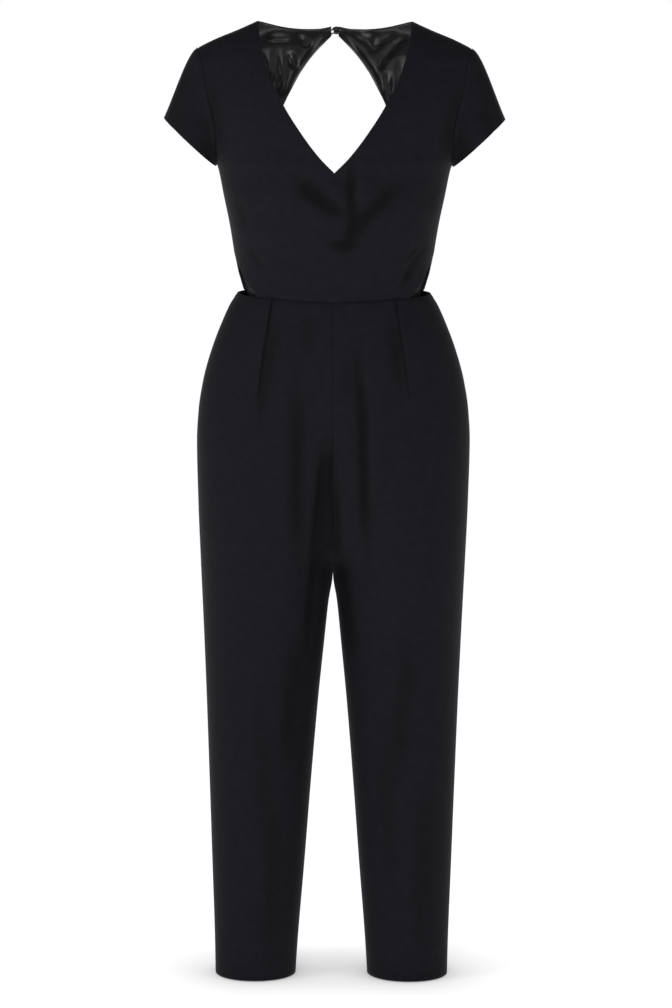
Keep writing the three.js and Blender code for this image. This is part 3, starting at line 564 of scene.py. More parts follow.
TROUSER_BACK_FOLDS = {
    1: [
        (13, -4.0, (128, -720), (84, -756), (40, -784)),
        (12, -3.2, (150, -786), (104, -812), (62, -838)),
        (11, -3.0, (24, -640), (30, -740), (44, -850)),
        (15, -2.8, (70, -1016), (112, -1034), (152, -1070)),
        (14, -2.4, (104, -1090), (108, -1210), (114, -1340)),
        (12, -2.0, (60, -430), (70, -500), (74, -570)),
    ],
    -1: [
        (12, -3.6, (134, -736), (90, -764), (46, -788)),
        (13, -2.6, (146, -800), (108, -818), (70, -850)),
        (10, -3.4, (18, -620), (26, -720), (40, -840)),
        (14, -2.4, (80, -1030), (116, -1042), (146, -1064)),
        (15, -2.2, (96, -1110), (104, -1220), (108, -1370)),
        (12, -2.2, (66, -420), (72, -486), (80, -540)),
    ],
}

# On a sleeve x is how far in front of the arm's middle a place lies
SLEEVE_FRONT = -1.0
SLEEVE_FOLDS = [
    (6, -1.8, (20, -60), (30, -104), (34, -150)),
    (7, -1.6, (44, -110), (50, -150), (48, -200)),
    (7, -1.8, (-24, -70), (-34, -120), (-40, -170)),
    (8, -1.6, (-50, -130), (-48, -190)),
]

HALF_SHARES = spaced(56)
PATCH_LOW_Z = -82


def cutout_x(side, z):
    """Half width of the cut-out's edge."""
    square = squareness_at(z)
    return half_at(z) * (1 - (cutout[side](z) / reach_at[side](z)) ** square) ** (1 / square)


def outer_x(side, z):
    """Half width of the bodice below the armhole."""
    return np.where(z >= CUTOUT_APEX_Z, half_at(z), cutout_x(side, np.minimum(z, CUTOUT_APEX_Z)))


def front_places(angle, z, sign):
    """Places of the front of the bodice with its creases, for angles and heights on the form."""
    x = bodice_place(FRONT, angle, z)[..., 0]
    fade = smooth(1 - (z - WAIST_Z) / DIP_FADE)
    z = z + waist_dip(FRONT, x) * fade
    place = bodice_place(FRONT, angle, z)
    edge = smooth((place[..., 0] < 1) + angle / 0.35) * smooth((z - WAIST_Z) / 25)
    height = fold_height(BODICE_FRONT_FOLDS, sign * place[..., 0], z) * edge
    return place, bodice_normal(FRONT, angle, z), height


def front_half(sign):
    """The grids of one half of the bodice front: below the underarm, beside the V, and over the shoulder."""
    low_z = np.concatenate([np.linspace(WAIST_Z, CUTOUT_APEX_Z, 36), np.linspace(CUTOUT_APEX_Z, UNDERARM_Z, 50)[1:]])
    rise = smooth((low_z - WAIST_Z) / (UNDERARM_Z - WAIST_Z))
    start = (outer_x(FRONT, low_z), low_z)
    end = (np.zeros_like(low_z), low_z + (V_POINT_Z - UNDERARM_Z) * rise)
    low = bodice_rows(FRONT, start, end, HALF_SHARES)
    beside_z = np.linspace(UNDERARM_Z, PATCH_LOW_Z, 54)
    inner_z = np.linspace(V_POINT_Z, PATCH_LOW_Z, 54)
    start = (armhole[FRONT](beside_z), beside_z)
    beside = bodice_rows(FRONT, start, (neck_v(inner_z), inner_z), HALF_SHARES)
    for values, below in zip(beside, low):
        values[0] = below[-1]
    bottom = np.stack([beside[0][-1], beside[1][-1]], -1)
    seam_z = mix(SHOULDER_TIP_Z, NECK_POINT[1], HALF_SHARES)
    top = np.stack([np.zeros_like(seam_z), seam_z], -1)
    turn = np.linspace(0, 1, 30)
    outer = on_form(armhole[FRONT](mix(PATCH_LOW_Z, SHOULDER_TIP_Z, turn)), mix(PATCH_LOW_Z, SHOULDER_TIP_Z, turn))
    inner = on_form(neck_v(mix(PATCH_LOW_Z, NECK_POINT[1], turn)), mix(PATCH_LOW_Z, NECK_POINT[1], turn))
    outer[-1] = top[0]
    inner[-1] = top[-1]
    bottom[0] = outer[0]
    bottom[-1] = inner[0]
    shoulder = blended(bottom, top, outer, inner)
    sewn = {"low": ["bottom"], "beside": ["first"], "shoulder": ["first", "top"]}
    grids = []
    for key, (angle, z) in (("low", low), ("beside", beside), ("shoulder", shoulder)):
        place, normal, height = front_places(angle, z, sign)
        # Painted shade: how deep each place lies in a crease darkens its colour
        depth = painted_shade_and_highlight(height)
        height = height + seam_roll(place, sewn[key])
        if key == "low":
            height = height + seam_roll(place, ["first"]) * (z > CUTOUT_APEX_Z)
        moved = with_allowance(place + normal * height[..., None], normal, sewn[key], depth)
        grids.append(moved if sign > 0 else mirror(moved))
    return grids


def bodice_front():
    halves = front_half(1) + front_half(-1)
    return cloth("bodice_front_cloth", "bodice_front", halves, "crepe", CREPE_THICKNESS, body_axis)


# Where rows of the back panel start, on the keyhole and middle seam, and end, on the armhole, side and cut-out
BACK_ROW_ENDS = table(
    "inner outer",
    [
        (-82, -82),
        (-103, -102),
        (-124, -123),
        (-166, -166),
        (-208, -194),
        (-250, -206),
        (-275, -225),
        (-300, -244),
        (-320, -264),
        (-335, -283),
        (-344, -303),
        (-347, -322),
        (-356, -331),
        (-365, -343),
        (-374, -358),
        (-382, -375),
        (-391, -391),
    ],
)
ROWS_BETWEEN = 8


def back_form():
    """Angles and heights of the two grids of the back panel: over the shoulder, and below it."""
    index = np.arange(len(BACK_ROW_ENDS["inner"]))
    fine = np.linspace(0, index[-1], index[-1] * ROWS_BETWEEN + 1)
    inner_z = np.interp(fine, index, BACK_ROW_ENDS["inner"])
    outer_z = np.interp(fine, index, BACK_ROW_ENDS["outer"])
    inner = (np.where(inner_z > KEYHOLE_END_Z, keyhole(inner_z), 0), inner_z)
    outer = (np.where(outer_z > UNDERARM_Z, armhole[BACK](outer_z), outer_x(BACK, outer_z)), outer_z)
    low = bodice_rows(BACK, inner, outer, HALF_SHARES)
    low = (low[0][::-1], low[1][::-1])
    neck_share = 0.55
    neck_x = mix(NECK_BACK["x"][0], NECK_POINT[0], np.clip(HALF_SHARES / neck_share, 0, 1))
    seam = np.clip((HALF_SHARES - neck_share) / (1 - neck_share), 0, 1)
    on_neck = HALF_SHARES <= neck_share
    neck = on_form(neck_x, neck_back(neck_x))
    neck[:, 0] *= smooth(np.clip((neck_share - HALF_SHARES) / 0.02, 0, 1))
    seam_z = mix(NECK_POINT[1], SHOULDER_TIP_Z, seam)
    shoulder = np.stack([np.zeros_like(seam_z), seam_z], -1)
    top = np.where(on_neck[:, None], neck, shoulder)
    turn = np.linspace(0, 1, 40)
    bottom = np.stack([low[0][-1], low[1][-1]], -1)
    outer_z = mix(PATCH_LOW_Z, SHOULDER_TIP_Z, turn)
    outer = on_form(armhole[BACK](outer_z), outer_z)
    nape = np.clip(turn / 0.85, 0, 1)
    inner_z = mix(PATCH_LOW_Z, KEYHOLE["z"][0], nape)
    inner = on_form(keyhole(inner_z), inner_z)
    end = turn > 0.85
    end_z = mix(KEYHOLE["z"][0], NECK_BACK["z"][0], (turn - 0.85) / 0.15)
    inner[end] = on_form(np.full(end.sum(), NECK_BACK["x"][0]), end_z[end])
    inner[-1] = top[0]
    outer[-1] = top[-1]
    inner[0] = bottom[0]
    outer[0] = bottom[-1]
    return low, blended(bottom, top, inner, outer)


def back_grids(depth, folds, sewn, painted_amount):
    """The grids of one back panel or its lining: how deep it lies under the form, its creases, which edges are
    sewn, and the painted colour at its creases: painted shade on the crepe, painted highlight on the lining."""
    grids = []
    for key, (angle, z) in zip(("low", "shoulder"), back_form()):
        x = bodice_place(BACK, angle, z)[..., 0]
        fade = smooth(1 - (z - WAIST_Z) / DIP_FADE)
        z = z + waist_dip(BACK, x) * fade
        place = bodice_place(BACK, angle, z)
        normal = bodice_normal(BACK, angle, z)
        creases = folds(place, angle)
        height = creases + seam_roll(place, sewn[key]) - depth
        if key == "low" and sewn[key]:
            height = height + seam_roll(place, ["last"]) * (z > CUTOUT_APEX_Z)
        moved = place + normal * height[..., None]
        grids.append(with_allowance(moved, normal, sewn[key], painted_amount(creases, z)))
    return grids


def back_creases(place, angle):
    return fold_height(BODICE_BACK_FOLDS, place[..., 0], place[..., 2]) * smooth(angle / 0.35)


# Painted shade on the back panel's crepe, by how deep each place lies in a crease
def back_painted_shade(creases, z):
    return painted_shade_and_highlight(creases)


# Beside the side cut-out the lining stands in a crumpled ridge: height, way in from the edge, and width
LINING_RIDGE = (21, 19, 11)
# At the waist it lies further in and tucks down into the seam
LINING_WAIST_IN = (2.6, 5)
LINING_TUCK = (14, 0.96)
# How far the lining bulges in where its painted highlight is full
PAINTED_HIGHLIGHT_DEPTH = 6


def lining_creases(folds):
    """The lining follows the creases of the cloth that it lines, and bulges away from it, towards the wearer."""
    tall, way_in, width = LINING_RIDGE

    def creases(place, angle):
        distances = edge_distances(place)
        x = place[..., 0]
        z = place[..., 2]
        last = distances["last"]
        near = np.minimum(distances["first"], last)
        beside = np.exp(-(((last - way_in) / width) ** 2)) * smooth((CUTOUT_APEX_Z + 6 - z) / 30)
        crumple = 1.5 * np.sin(last / 1.6 + 1.8 * np.sin(z / 7)) + 1.2 * np.sin(z / 5 + last / 6)
        inwards = (fold_height(folds, x, z) + (tall + crumple) * beside) * smooth(near / 6)
        deep, reach = LINING_WAIST_IN
        inwards += deep * np.exp(-((distances["bottom"] / reach) ** 2)) * (z < WAIST_Z + 8 * reach)
        return np.minimum(back_creases(place, angle), 0) - inwards

    return creases


def lining_painted_highlight(creases, z):
    """Painted highlight on the lining: how far it bulges in, only beside the side cut-out, where its colour is made
    lighter.
    """
    return painted_shade_and_highlight(creases, PAINTED_HIGHLIGHT_DEPTH) * smooth((CUTOUT_APEX_Z + 6 - z) / 20)


def bodice_back(name, node, sign):
    sewn = {"low": ["bottom"], "shoulder": ["last"]}
    grids = back_grids(0, back_creases, sewn, back_painted_shade)
    grids = grids if sign > 0 else [mirror(grid) for grid in grids]
    return cloth(name, node, grids, "crepe", CREPE_THICKNESS, body_axis)


def back_lining(name, node, sign):
    creases = lining_creases(LINING_LEFT_FOLDS if sign > 0 else LINING_RIGHT_FOLDS)
    grids = back_grids(LINING_DEPTH, creases, {"low": [], "shoulder": []}, lining_painted_highlight)
    lower, closer = LINING_TUCK
    tuck = grids[0][:1] * np.array([closer, closer, 1, 1]) - np.array([0, 0, lower, 0])
    grids[0] = np.concatenate([tuck, grids[0]])
    grids = grids if sign > 0 else [mirror(grid) for grid in grids]
    return cloth(name, node, grids, "satin", SATIN_THICKNESS, body_axis)


SLEEVE_AROUND = 200
SLEEVE_LEVELS = 44


def sleeve_grid():
    """The left sleeve: rings from the armhole to a flat oval hem."""
    turn = np.arange(SLEEVE_AROUND) / SLEEVE_AROUND * 2 * math.pi
    high = (1 - np.cos(turn)) / 2
    z = mix(UNDERARM_Z, SHOULDER_TIP_Z, high)
    places = {side: bodice_angle(armhole[side](z), z) for side in (FRONT, BACK)}
    in_front = (turn <= math.pi)[:, None]
    place = np.where(in_front, bodice_place(FRONT, places[FRONT], z), bodice_place(BACK, places[BACK], z))
    normal = np.where(in_front, bodice_normal(FRONT, places[FRONT], z), bodice_normal(BACK, places[BACK], z))
    edge = np.roll(place, -1, 0) - np.roll(place, 1, 0)
    level = unit(np.cross(edge, normal))
    fall = unit(np.array(SLEEVE_FALL))
    leave = unit(level * smooth(high * 1.4)[:, None] + fall * (1.15 - high)[:, None])
    tip = np.array([SLEEVE_TIP[0], 0, SLEEVE_TIP[1]])
    underarm = np.array([SLEEVE_UNDERARM[0], 0, SLEEVE_UNDERARM[1]])
    centre = (tip + underarm) / 2
    end = centre - (tip - centre) * np.cos(turn)[:, None]
    end[:, 1] = -SLEEVE_HALF_DEPTH * np.sin(turn)
    reach = np.linalg.norm(end - place, axis=1)[None, :, None]
    t = spaced(SLEEVE_LEVELS)[:, None, None]
    grid = (
        place * (1 + 2 * t) * (1 - t) ** 2
        + end * t * t * (3 - 2 * t)
        + leave * SLEEVE_LEAVING * reach * t * (1 - t) ** 2
        - fall * reach * t * t * (1 - t)
    )
    outward = grid_normals(grid, closed=True)
    facing = np.sum((grid - grid.mean(axis=1, keepdims=True)) * outward)
    outward = outward if facing > 0 else -outward
    creases = fold_height(SLEEVE_FOLDS, grid[..., 1] * SLEEVE_FRONT, grid[..., 2])
    creases = creases * smooth(t[..., 0] / 0.3)
    moved = grid + outward * (creases + seam_roll(grid, ["bottom"]))[..., None]
    moved = np.concatenate([place[None] - normal[None] * SEAM_ALLOWANCE, moved])
    # Painted shade: how deep each place lies in a crease darkens its colour
    depth = painted_shade_and_highlight(creases)
    return np.concatenate([moved, np.concatenate([depth[:1], depth])[..., None]], -1)


def sleeve(name, node, sign):
    grid = sleeve_grid()
    grid = grid if sign > 0 else mirror(grid)
    return cloth(name, node, [grid], "crepe", CREPE_THICKNESS, arm_axis, closed=True)


SECTION_STEPS = 160


def trouser_sections(side, z):
    """Sections of one trouser half at each height, from the side seam to the middle seam or inseam."""
    z = z[:, None]
    power = 2 / squareness_at(z)
    outer = half_at(z)
    middle = middle_at(z)
    rate, exponent = MERGE[side]
    above = np.maximum(z - CROTCH_Z, 0)
    reach_past = rate * above**exponent * smooth(above / FORK_HEIGHT)
    inner = np.where(above > 0, -reach_past, inner_at(z))
    depth = reach_at[side](z)
    angle = np.linspace(0, math.pi / 2, SECTION_STEPS)[None, :]
    outer_half = np.stack(
        [
            middle + (outer - middle) * np.maximum(0, np.cos(angle)) ** power,
            depth * np.maximum(0, np.sin(angle)) ** power,
        ],
        -1,
    )
    reach = np.maximum(middle - inner, 1)
    end = np.arcsin(np.clip((middle - np.maximum(0, inner)) / reach, 0, 1))
    turn = end * np.linspace(0, 1, SECTION_STEPS)[None, 1:]
    inner_half = np.stack([middle - reach * np.sin(turn), depth * np.cos(turn)], -1)
    points = np.concatenate([outer_half, inner_half], axis=1)
    x = points[..., 0]
    return np.stack([x, side * points[..., 1], np.broadcast_to(z, x.shape)], -1)


def resampled(grid, lengths):
    """Places along each row of a grid at given lengths."""
    along = row_lengths(grid)
    wanted = np.broadcast_to(lengths, (len(grid), lengths.shape[-1]))
    return np.array(
        [[np.interp(w, row, places[:, k]) for k in range(3)] for w, row, places in zip(wanted, along, grid)]
    ).transpose(0, 2, 1)


OUTER_SHARE = 2 / 3


def trouser_lengths(grid, shares, z):
    """Lengths along each section for shares of its columns: near the crotch the inner columns take up the curve
    that turns under there."""
    along = row_lengths(grid)
    total = along[:, -1:]
    settled = smooth((-600 - z) / 120)[:, None]
    joint = mix(OUTER_SHARE * total, along[:, SECTION_STEPS - 1 : SECTION_STEPS], settled)
    outer = shares[None, :] / OUTER_SHARE * joint
    inner = mix(joint, total, (shares[None, :] - OUTER_SHARE) / (1 - OUTER_SHARE))
    return np.where(shares[None, :] <= OUTER_SHARE, outer, inner)


def trouser_form(side, z, shares):
    """A grid on the trouser form with its normals. The waist seam's dip is taken up near the waist."""
    sections = trouser_sections(side, z)
    grid = resampled(sections, trouser_lengths(sections, shares, z))
    dip = waist_dip(side, grid[..., 0]) * smooth(1 - (WAIST_Z - z) / DIP_FADE)[:, None]
    lowered = grid.copy()
    lowered[..., 2] += dip
    scale = half_at(lowered[..., 2]) / half_at(grid[..., 2])
    deeper = reach_at[side](lowered[..., 2]) / reach_at[side](grid[..., 2])
    lowered[..., 0] *= scale
    lowered[..., 1] *= deeper
    normal = grid_normals(lowered)
    outward = normal[..., 0] * (lowered[..., 0] - middle_at(z)[:, None] * 0.9) + normal[..., 1] * lowered[..., 1]
    return lowered, normal if outward.mean() > 0 else -normal


def grid_normals(grid, closed=False):
    if closed:
        around = np.roll(grid, -1, 1) - np.roll(grid, 1, 1)
    else:
        around = np.gradient(grid, axis=1)
    return unit(np.cross(around, np.gradient(grid, axis=0)))


TROUSER_SHARES = spaced(104)
PLEAT_SHARES = np.linspace(0, 1, 60)
SIDE_STEPS = np.array([0, 0.7, 1.5, 3])


def trouser_heights():
    return np.concatenate(
        [
            WAIST_Z - np.array([0, 0.8, 1.6, 3, 5]),
            np.linspace(-399, PLEAT_END_Z, 60),
            np.linspace(PLEAT_END_Z, -770, 56)[1:],
            np.linspace(-770, -830, 40)[1:],
            np.linspace(-830, HEM_Z, 120)[1:],
        ]
    )


def pleated(grid, normal, z):
    """Columns of a trouser front moved into its pleat, and the height that the pleat adds. Columns keep their
    number: a share of them is drawn together in the fold."""
    along = row_lengths(grid)
    total = along[:, -1]
    full = pleat_fullness(np.maximum(z, PLEAT_END_Z))
    folded = smooth((full - 0.1) / PLEAT_OPENS_AT)
    knots = np.linspace(0, 1, len(PLEAT["along"]))
    profile = {"share": knots, **PLEAT}
    flat = through(profile, "flat", "share")(PLEAT_SHARES)
    tucked = through(profile, "along", "share")(PLEAT_SHARES)
    height = through(profile, "height", "share")(PLEAT_SHARES)
    places = []
    raised = []
    normals = []
    edge_x = pleat_x(np.maximum(z, PLEAT_END_Z))
    for r in range(len(grid)):
        edge = np.interp(-edge_x[r], -grid[r, :, 0], along[r])
        fold = edge + mix(flat, tucked, folded[r])
        side = np.concatenate([SIDE_STEPS, np.linspace(SIDE_STEPS[-1], fold[0], 30)[1:-1]])
        middle = fold[-1] + spaced(52)[5:] * (total[r] - fold[-1])
        lengths = np.concatenate([side, fold, middle])
        places.append([np.interp(lengths, along[r], grid[r, :, k]) for k in range(3)])
        normals.append([np.interp(lengths, along[r], normal[r, :, k]) for k in range(3)])
        raised.append(np.concatenate([np.zeros(len(side)), height * full[r], np.zeros(len(middle))]))
    return np.array(places).transpose(0, 2, 1), unit(np.array(normals).transpose(0, 2, 1)), np.array(raised)


def sewn_trouser(places, normals, height):
    """The grid of a trouser piece moved by its folds and turned in at its seams. Above the crotch the middle seam
    stays in the middle plane."""
    last = edge_distances(places)["last"]
    middle = np.exp(-((last / 7) ** 2)) * (places[..., 2] > CROTCH_Z)
    level = unit(normals * np.stack([1 - middle, np.ones_like(middle), np.ones_like(middle)], -1))
    # Painted shade: how deep each place lies in a crease darkens its colour
    depth = painted_shade_and_highlight(height)
    below_waist = edge_distances(places)["bottom"]
    height = height + seam_roll(places, ["first", "last"]) * smooth(below_waist / 4)
    height = height + seam_roll(places, ["bottom"], 1.6, 2.6)
    return with_allowance(places + level * height[..., None], level, ["first", "last", "bottom"], depth)


def trouser_front(name, node, sign, folds):
    z = trouser_heights()
    grid, normal = trouser_form(FRONT, z, TROUSER_SHARES)
    split = int(np.searchsorted(-z, -PLEAT_END_Z)) + 1
    upper, upper_normal, raised = pleated(grid[:split], normal[:split], z[:split])
    lower_lengths = row_lengths(upper)[-1] / row_lengths(upper)[-1, -1]
    below = trouser_sections(FRONT, z[split - 1 :])
    blend = smooth((PLEAT_END_Z - z[split - 1 :]) / 150)[:, None]
    even = np.linspace(0, 1, len(lower_lengths))[None, :]
    shares = mix(lower_lengths[None, :], even, blend)
    lengths = np.array([trouser_lengths(below[r : r + 1], shares[r], z[split - 1 + r : split + r])[0] for r in range(len(below))])
    lower = resampled(below, lengths)
    lower_normal = grid_normals(lower)
    flip = np.sign(np.sum(lower_normal[0] * upper_normal[-1]))
    lower_normal = lower_normal * flip
    lower_normal[0] = upper_normal[-1]
    places = np.concatenate([upper, lower[1:]])
    normals = np.concatenate([upper_normal, lower_normal[1:]])
    raised = np.concatenate([raised, np.zeros((len(lower) - 1, raised.shape[1]))])
    height = raised + fold_height(folds, places[..., 0], places[..., 2])
    moved = sewn_trouser(places, normals, height)
    moved = moved if sign > 0 else mirror(moved)
    return cloth(name, node, [moved], "crepe", CREPE_THICKNESS, leg_axis)


def trouser_back(name, node, sign):
    z = trouser_heights()
    places, normals = trouser_form(BACK, z, TROUSER_SHARES)
    height = fold_height(TROUSER_BACK_FOLDS[sign], places[..., 0], places[..., 2])
    moved = sewn_trouser(places, normals, height)
    moved = moved if sign > 0 else mirror(moved)
    return cloth(name, node, [moved], "crepe", CREPE_THICKNESS, leg_axis)


# Button and loop at the nape: the button's middle, size, and height off the cloth, and the loop's cord
BUTTON_PLACE = (2.2, -17)
BUTTON_RADIUS = 4.8
BUTTON_DEPTH = 5
BUTTON_OFF = 0.5
BUTTON_PROFILE = table(
    "out along",
    [(0, -0.5), (0.45, -0.5), (0.8, -0.4), (0.96, -0.16), (1, 0), (0.95, 0.16), (0.8, 0.34), (0.5, 0.46), (0, 0.5)],
)
LOOP_CORD = 2.1
LOOP_REACH = 6.1
LOOP_END = -9.0
LOOP_ROOT = 2.8
LOOP_TURN = 125
RING_POINTS = 24


def nape_place(local):
    """Places given across, off and along the cloth at the button, moved to the nape."""
    x, z = BUTTON_PLACE
    angle = bodice_angle(x, z)
    normal = bodice_normal(BACK, angle, np.asarray(float(z))) * np.array([0, 1, 1])
    normal = unit(normal)
    across = np.array([1.0, 0.0, 0.0])
    along = np.cross(across, normal)
    origin = bodice_place(BACK, angle, z) + normal * (BUTTON_OFF + BUTTON_DEPTH / 2)
    return origin + local[..., :1] * across + local[..., 1:2] * normal + local[..., 2:] * along


def small_piece(name, node, grid):
    grid = np.concatenate([nape_place(grid), np.zeros(grid.shape[:2] + (1,))], -1)
    piece = make_mesh(name, [grid], closed=True)
    piece.data.materials.append(MATERIALS["satin"])
    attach(piece, "root")
    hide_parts(node)


def nape_button():
    turn = np.arange(RING_POINTS * 2) / (RING_POINTS * 2) * 2 * math.pi
    share = np.linspace(0, 1, len(BUTTON_PROFILE["out"]))
    profile = {"share": share, **BUTTON_PROFILE}
    steps = np.linspace(0, 1, 33)
    out = through(profile, "out", "share")(steps)[:, None] * BUTTON_RADIUS
    off = through(profile, "along", "share")(steps)[:, None] * BUTTON_DEPTH * np.ones_like(turn)
    grid = np.stack([out * np.cos(turn), off, out * np.sin(turn)], -1)
    small_piece("nape_button_cover", "nape_button", grid)


def nape_loop():
    """A cord from the end of the right back panel round the button, in the button's own plane."""
    low = -BUTTON_OFF - BUTTON_DEPTH / 2 - 1
    turns = np.radians(np.linspace(-LOOP_TURN, LOOP_TURN, 9))
    bow = [(LOOP_REACH * math.cos(t), 0.0, LOOP_REACH * math.sin(t)) for t in turns]
    start = [(LOOP_END, low, -LOOP_ROOT), (LOOP_END + 2.4, low + 0.8, -LOOP_ROOT - 0.7)]
    finish = [(x, y, -z) for x, y, z in reversed(start)]
    points = np.array(start + bow + finish)
    knots = np.linspace(0, 1, len(points))
    steps = np.linspace(0, 1, 161)
    path = np.stack([through({"at": knots, "to": points[:, k]}, "to", "at")(steps) for k in range(3)], -1)
    along = unit(np.gradient(path, axis=0))
    side = unit(np.cross(along, np.array([0.0, 1.0, 0.0])))
    over = np.cross(side, along)
    turn = np.arange(RING_POINTS) / RING_POINTS * 2 * math.pi
    ring = side[:, None] * np.cos(turn)[None, :, None] + over[:, None] * np.sin(turn)[None, :, None]
    small_piece("nape_loop_cord", "nape_loop", path[:, None] + ring * LOOP_CORD / 2)


def node_of(tree, kind, **inputs):
    node = tree.nodes.new(kind)
    for name, value in inputs.items():
        node.inputs[name.replace("_", " ")].default_value = value
    return node


# Painted shade: the crepe's colour is multiplied darker in its creases, by how deep each place lies in one
PAINTED_CREASE_SHADE = (0.44, 0.44, 0.44, 1)


def crepe_material():
    material = bpy.data.materials.new("crepe_cloth")
    material.use_nodes = True
    tree = material.node_tree
    shader = tree.nodes["Principled BSDF"]
    shader.inputs["Roughness"].default_value = 0.75
    shader.inputs["Specular IOR Level"].default_value = 0.08
    shader.inputs["Sheen Weight"].default_value = 0.04
    shader.inputs["Sheen Roughness"].default_value = 0.35
    place = tree.nodes.new("ShaderNodeTexCoord")
    mottle = node_of(tree, "ShaderNodeTexNoise", Scale=90.0, Detail=3.0)
    tree.links.new(place.outputs["Object"], mottle.inputs["Vector"])
    ramp = tree.nodes.new("ShaderNodeValToRGB")
    ramp.color_ramp.elements[0].color = (0.0060, 0.0055, 0.0082, 1)
    ramp.color_ramp.elements[0].position = 0.35
    ramp.color_ramp.elements[1].color = (0.0076, 0.0070, 0.0101, 1)
    ramp.color_ramp.elements[1].position = 0.7
    tree.links.new(mottle.outputs["Fac"], ramp.inputs["Fac"])
    painted_mask = tree.nodes.new("ShaderNodeAttribute")
    painted_mask.attribute_name = "painted_shade_and_highlight"
    # Painted shade: darkens the crepe's colour by its crease depth, standing in for shadow in the creases
    deep = tree.nodes.new("ShaderNodeMix")
    deep.data_type = "RGBA"
    deep.blend_type = "MULTIPLY"
    deep.inputs[7].default_value = PAINTED_CREASE_SHADE
    tree.links.new(painted_mask.outputs["Fac"], deep.inputs[0])
    tree.links.new(ramp.outputs["Color"], deep.inputs[6])
    tree.links.new(deep.outputs[2], shader.inputs["Base Color"])
    pebble = node_of(tree, "ShaderNodeTexNoise", Scale=1100.0, Detail=2.0)
    tree.links.new(place.outputs["Object"], pebble.inputs["Vector"])
    bump = tree.nodes.new("ShaderNodeBump")
    bump.inputs["Strength"].default_value = 0.25
    bump.inputs["Distance"].default_value = 0.0004
    tree.links.new(pebble.outputs["Fac"], bump.inputs["Height"])
    tree.links.new(bump.outputs["Normal"], shader.inputs["Normal"])
    return material


# Painted highlight: the satin's colour is lighter where the lining bulges in beside the side cut-out, where little
# light reaches
PAINTED_SATIN_HIGHLIGHT = (0.11, 0.108, 0.114, 1)


def satin_material():
    material = bpy.data.materials.new("satin_cloth")
    material.use_nodes = True
    tree = material.node_tree
    shader = tree.nodes["Principled BSDF"]
    shader.inputs["Roughness"].default_value = 0.32
    shader.inputs["Specular IOR Level"].default_value = 0.6
    place = tree.nodes.new("ShaderNodeTexCoord")
    mottle = node_of(tree, "ShaderNodeTexNoise", Scale=60.0, Detail=2.0)
    tree.links.new(place.outputs["Object"], mottle.inputs["Vector"])
    ramp = tree.nodes.new("ShaderNodeValToRGB")
    ramp.color_ramp.elements[0].color = (0.009, 0.009, 0.0092, 1)
    ramp.color_ramp.elements[1].color = (0.014, 0.014, 0.0143, 1)
    tree.links.new(mottle.outputs["Fac"], ramp.inputs["Fac"])
    painted_mask = tree.nodes.new("ShaderNodeAttribute")
    painted_mask.attribute_name = "painted_shade_and_highlight"
    # Painted highlight: lightens the satin's colour where the lining bulges in beside the side cut-out
    painted_highlight = tree.nodes.new("ShaderNodeMix")
    painted_highlight.data_type = "RGBA"
    painted_highlight.inputs[7].default_value = PAINTED_SATIN_HIGHLIGHT
    tree.links.new(painted_mask.outputs["Fac"], painted_highlight.inputs[0])
    tree.links.new(ramp.outputs["Color"], painted_highlight.inputs[6])
    tree.links.new(painted_highlight.outputs[2], shader.inputs["Base Color"])
    weave = node_of(tree, "ShaderNodeTexWave", Scale=900.0, Distortion=1.5)
    tree.links.new(place.outputs["Object"], weave.inputs["Vector"])
    bump = tree.nodes.new("ShaderNodeBump")
    bump.inputs["Strength"].default_value = 0.08
    bump.inputs["Distance"].default_value = 0.0002
    tree.links.new(weave.outputs["Fac"], bump.inputs["Height"])
    tree.links.new(bump.outputs["Normal"], shader.inputs["Normal"])
    return material


# Camera at the photograph's place: in front, at shoulder height, looking a little down
CAMERA_PLACE = (0.0042, -4.95134, -0.00413)
CAMERA_DOWN = 8
CAMERA_ROLL = 0.23
CAMERA_LENS = 122.2826
SENSOR = 36


def add_camera():
    data = bpy.data.cameras.new("camera")
    data.sensor_fit = "VERTICAL"
    data.sensor_height = SENSOR
    data.lens = CAMERA_LENS
    data.clip_end = 100
    camera = bpy.data.objects.new("camera", data)
    camera.location = CAMERA_PLACE
    tilt = Matrix.Rotation(math.radians(90 - CAMERA_DOWN), 3, "X")
    roll = Matrix.Rotation(math.radians(CAMERA_ROLL), 3, "Z")
    camera.rotation_euler = (tilt @ roll).to_euler()
    bpy.context.scene.collection.objects.link(camera)
    bpy.context.scene.camera = camera


FLOOR_Z = -1.4035


def add_floor():
    mesh = bpy.data.meshes.new("floor")
    size = 60
    mesh.from_pydata([(-size, -size, 0), (size, -size, 0), (size, size, 0), (-size, size, 0)], [], [(0, 1, 2, 3)])
    floor = bpy.data.objects.new("floor", mesh)
    floor.location = (0, 0, FLOOR_Z)
    bpy.context.scene.collection.objects.link(floor)
    paint = bpy.data.materials.new("floor_white_with_painted_shadow")
    paint.use_nodes = True
    shader = paint.node_tree.nodes["Principled BSDF"]
    shader.inputs["Base Color"].default_value = (0.4, 0.4, 0.4, 1)
    shader.inputs["Roughness"].default_value = 0.9
    shader.inputs["Specular IOR Level"].default_value = 0.0
    shader.inputs["Emission Color"].default_value = (1, 1, 1, 1)
    tree = paint.node_tree
    # Painted contact shadow: the floor's glow is darkened by ambient occlusion near the hems
    painted_contact_shadow = tree.nodes.new("ShaderNodeAmbientOcclusion")
    painted_contact_shadow.inputs["Distance"].default_value = 0.16
    shadowed_glow = tree.nodes.new("ShaderNodeMath")
    shadowed_glow.operation = "MULTIPLY"
    shadowed_glow.inputs[1].default_value = FLOOR_GLOW
    tree.links.new(painted_contact_shadow.outputs["AO"], shadowed_glow.inputs[0])
    tree.links.new(shadowed_glow.outputs["Value"], shader.inputs["Emission Strength"])
    mesh.materials.append(paint)


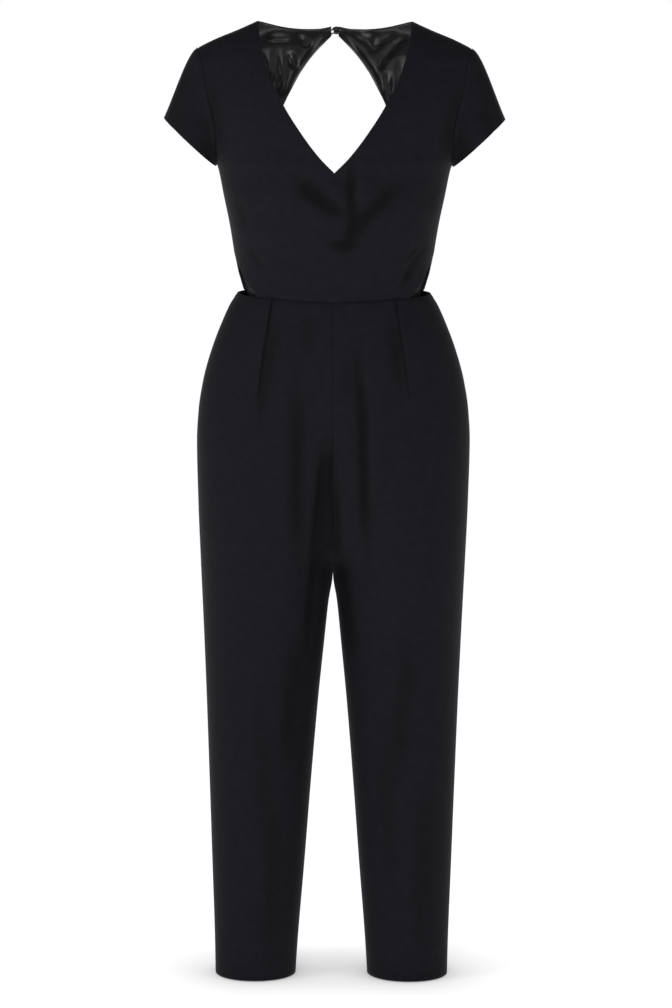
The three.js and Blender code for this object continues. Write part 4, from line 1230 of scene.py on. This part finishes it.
def add_light(name, place, target, size, power):
    data = bpy.data.lights.new(name, "AREA")
    data.shape = "RECTANGLE"
    data.size, data.size_y = size
    data.energy = power
    light = bpy.data.objects.new(name, data)
    light.location = place
    light.rotation_euler = (Vector(target) - Vector(place)).to_track_quat("-Z", "Y").to_euler()
    bpy.context.scene.collection.objects.link(light)


# Strength of the white room: what lights the cloth, and the floor's own glow, which keeps its shadows soft and is
# darkened by ambient occlusion near the garment as a painted contact shadow
ROOM_LIGHT = 0.2
FLOOR_GLOW = 0.92


def add_lights():
    world = bpy.data.worlds.new("studio")
    world.use_nodes = True
    tree = world.node_tree
    room = tree.nodes["Background"]
    room.inputs["Color"].default_value = (1, 1, 1, 1)
    room.inputs["Strength"].default_value = ROOM_LIGHT
    backdrop = tree.nodes.new("ShaderNodeBackground")
    backdrop.inputs["Color"].default_value = (1, 1, 1, 1)
    path = tree.nodes.new("ShaderNodeLightPath")
    seen = tree.nodes.new("ShaderNodeMixShader")
    tree.links.new(path.outputs["Is Camera Ray"], seen.inputs["Fac"])
    tree.links.new(room.outputs["Background"], seen.inputs[1])
    tree.links.new(backdrop.outputs["Background"], seen.inputs[2])
    tree.links.new(seen.outputs["Shader"], tree.nodes["World Output"].inputs["Surface"])
    bpy.context.scene.world = world
    add_light("left_box", (-2.6, -1.4, 0.6), (0, 0, -0.7), (0.9, 2.4), 37)
    add_light("right_box", (2.6, -1.4, 0.6), (0, 0, -0.7), (0.9, 2.4), 17)
    add_light("front_box", (-0.5, -4.2, 1.9), (0, 0, -0.7), (1.2, 1.2), 34)
    for side in (-1, 1):
        add_light("low_box", (side * 0.5, -4.8, -0.25), (0, 0, -0.5), (0.6, 0.6), 18)
    bpy.context.scene.view_settings.view_transform = "Standard"


add_camera()
add_floor()
add_lights()
MATERIALS = {"crepe": crepe_material(), "satin": satin_material()}
bodice_front()
for label, sign in (("left", 1), ("right", -1)):
    bodice_back(f"bodice_back_{label}_cloth", f"bodice_back_{label}", sign)
    back_lining(f"back_lining_{label}_cloth", f"back_lining_{label}", sign)
    sleeve(f"sleeve_{label}_cloth", f"sleeve_{label}", sign)
    trouser_back(f"trouser_back_{label}_cloth", f"trouser_back_{label}", sign)
trouser_front("trouser_front_left_cloth", "trouser_front_left", 1, TROUSER_LEFT_FOLDS)
trouser_front("trouser_front_right_cloth", "trouser_front_right", -1, TROUSER_RIGHT_FOLDS)
nape_button()
nape_loop()

bpy.context.view_layer.update()
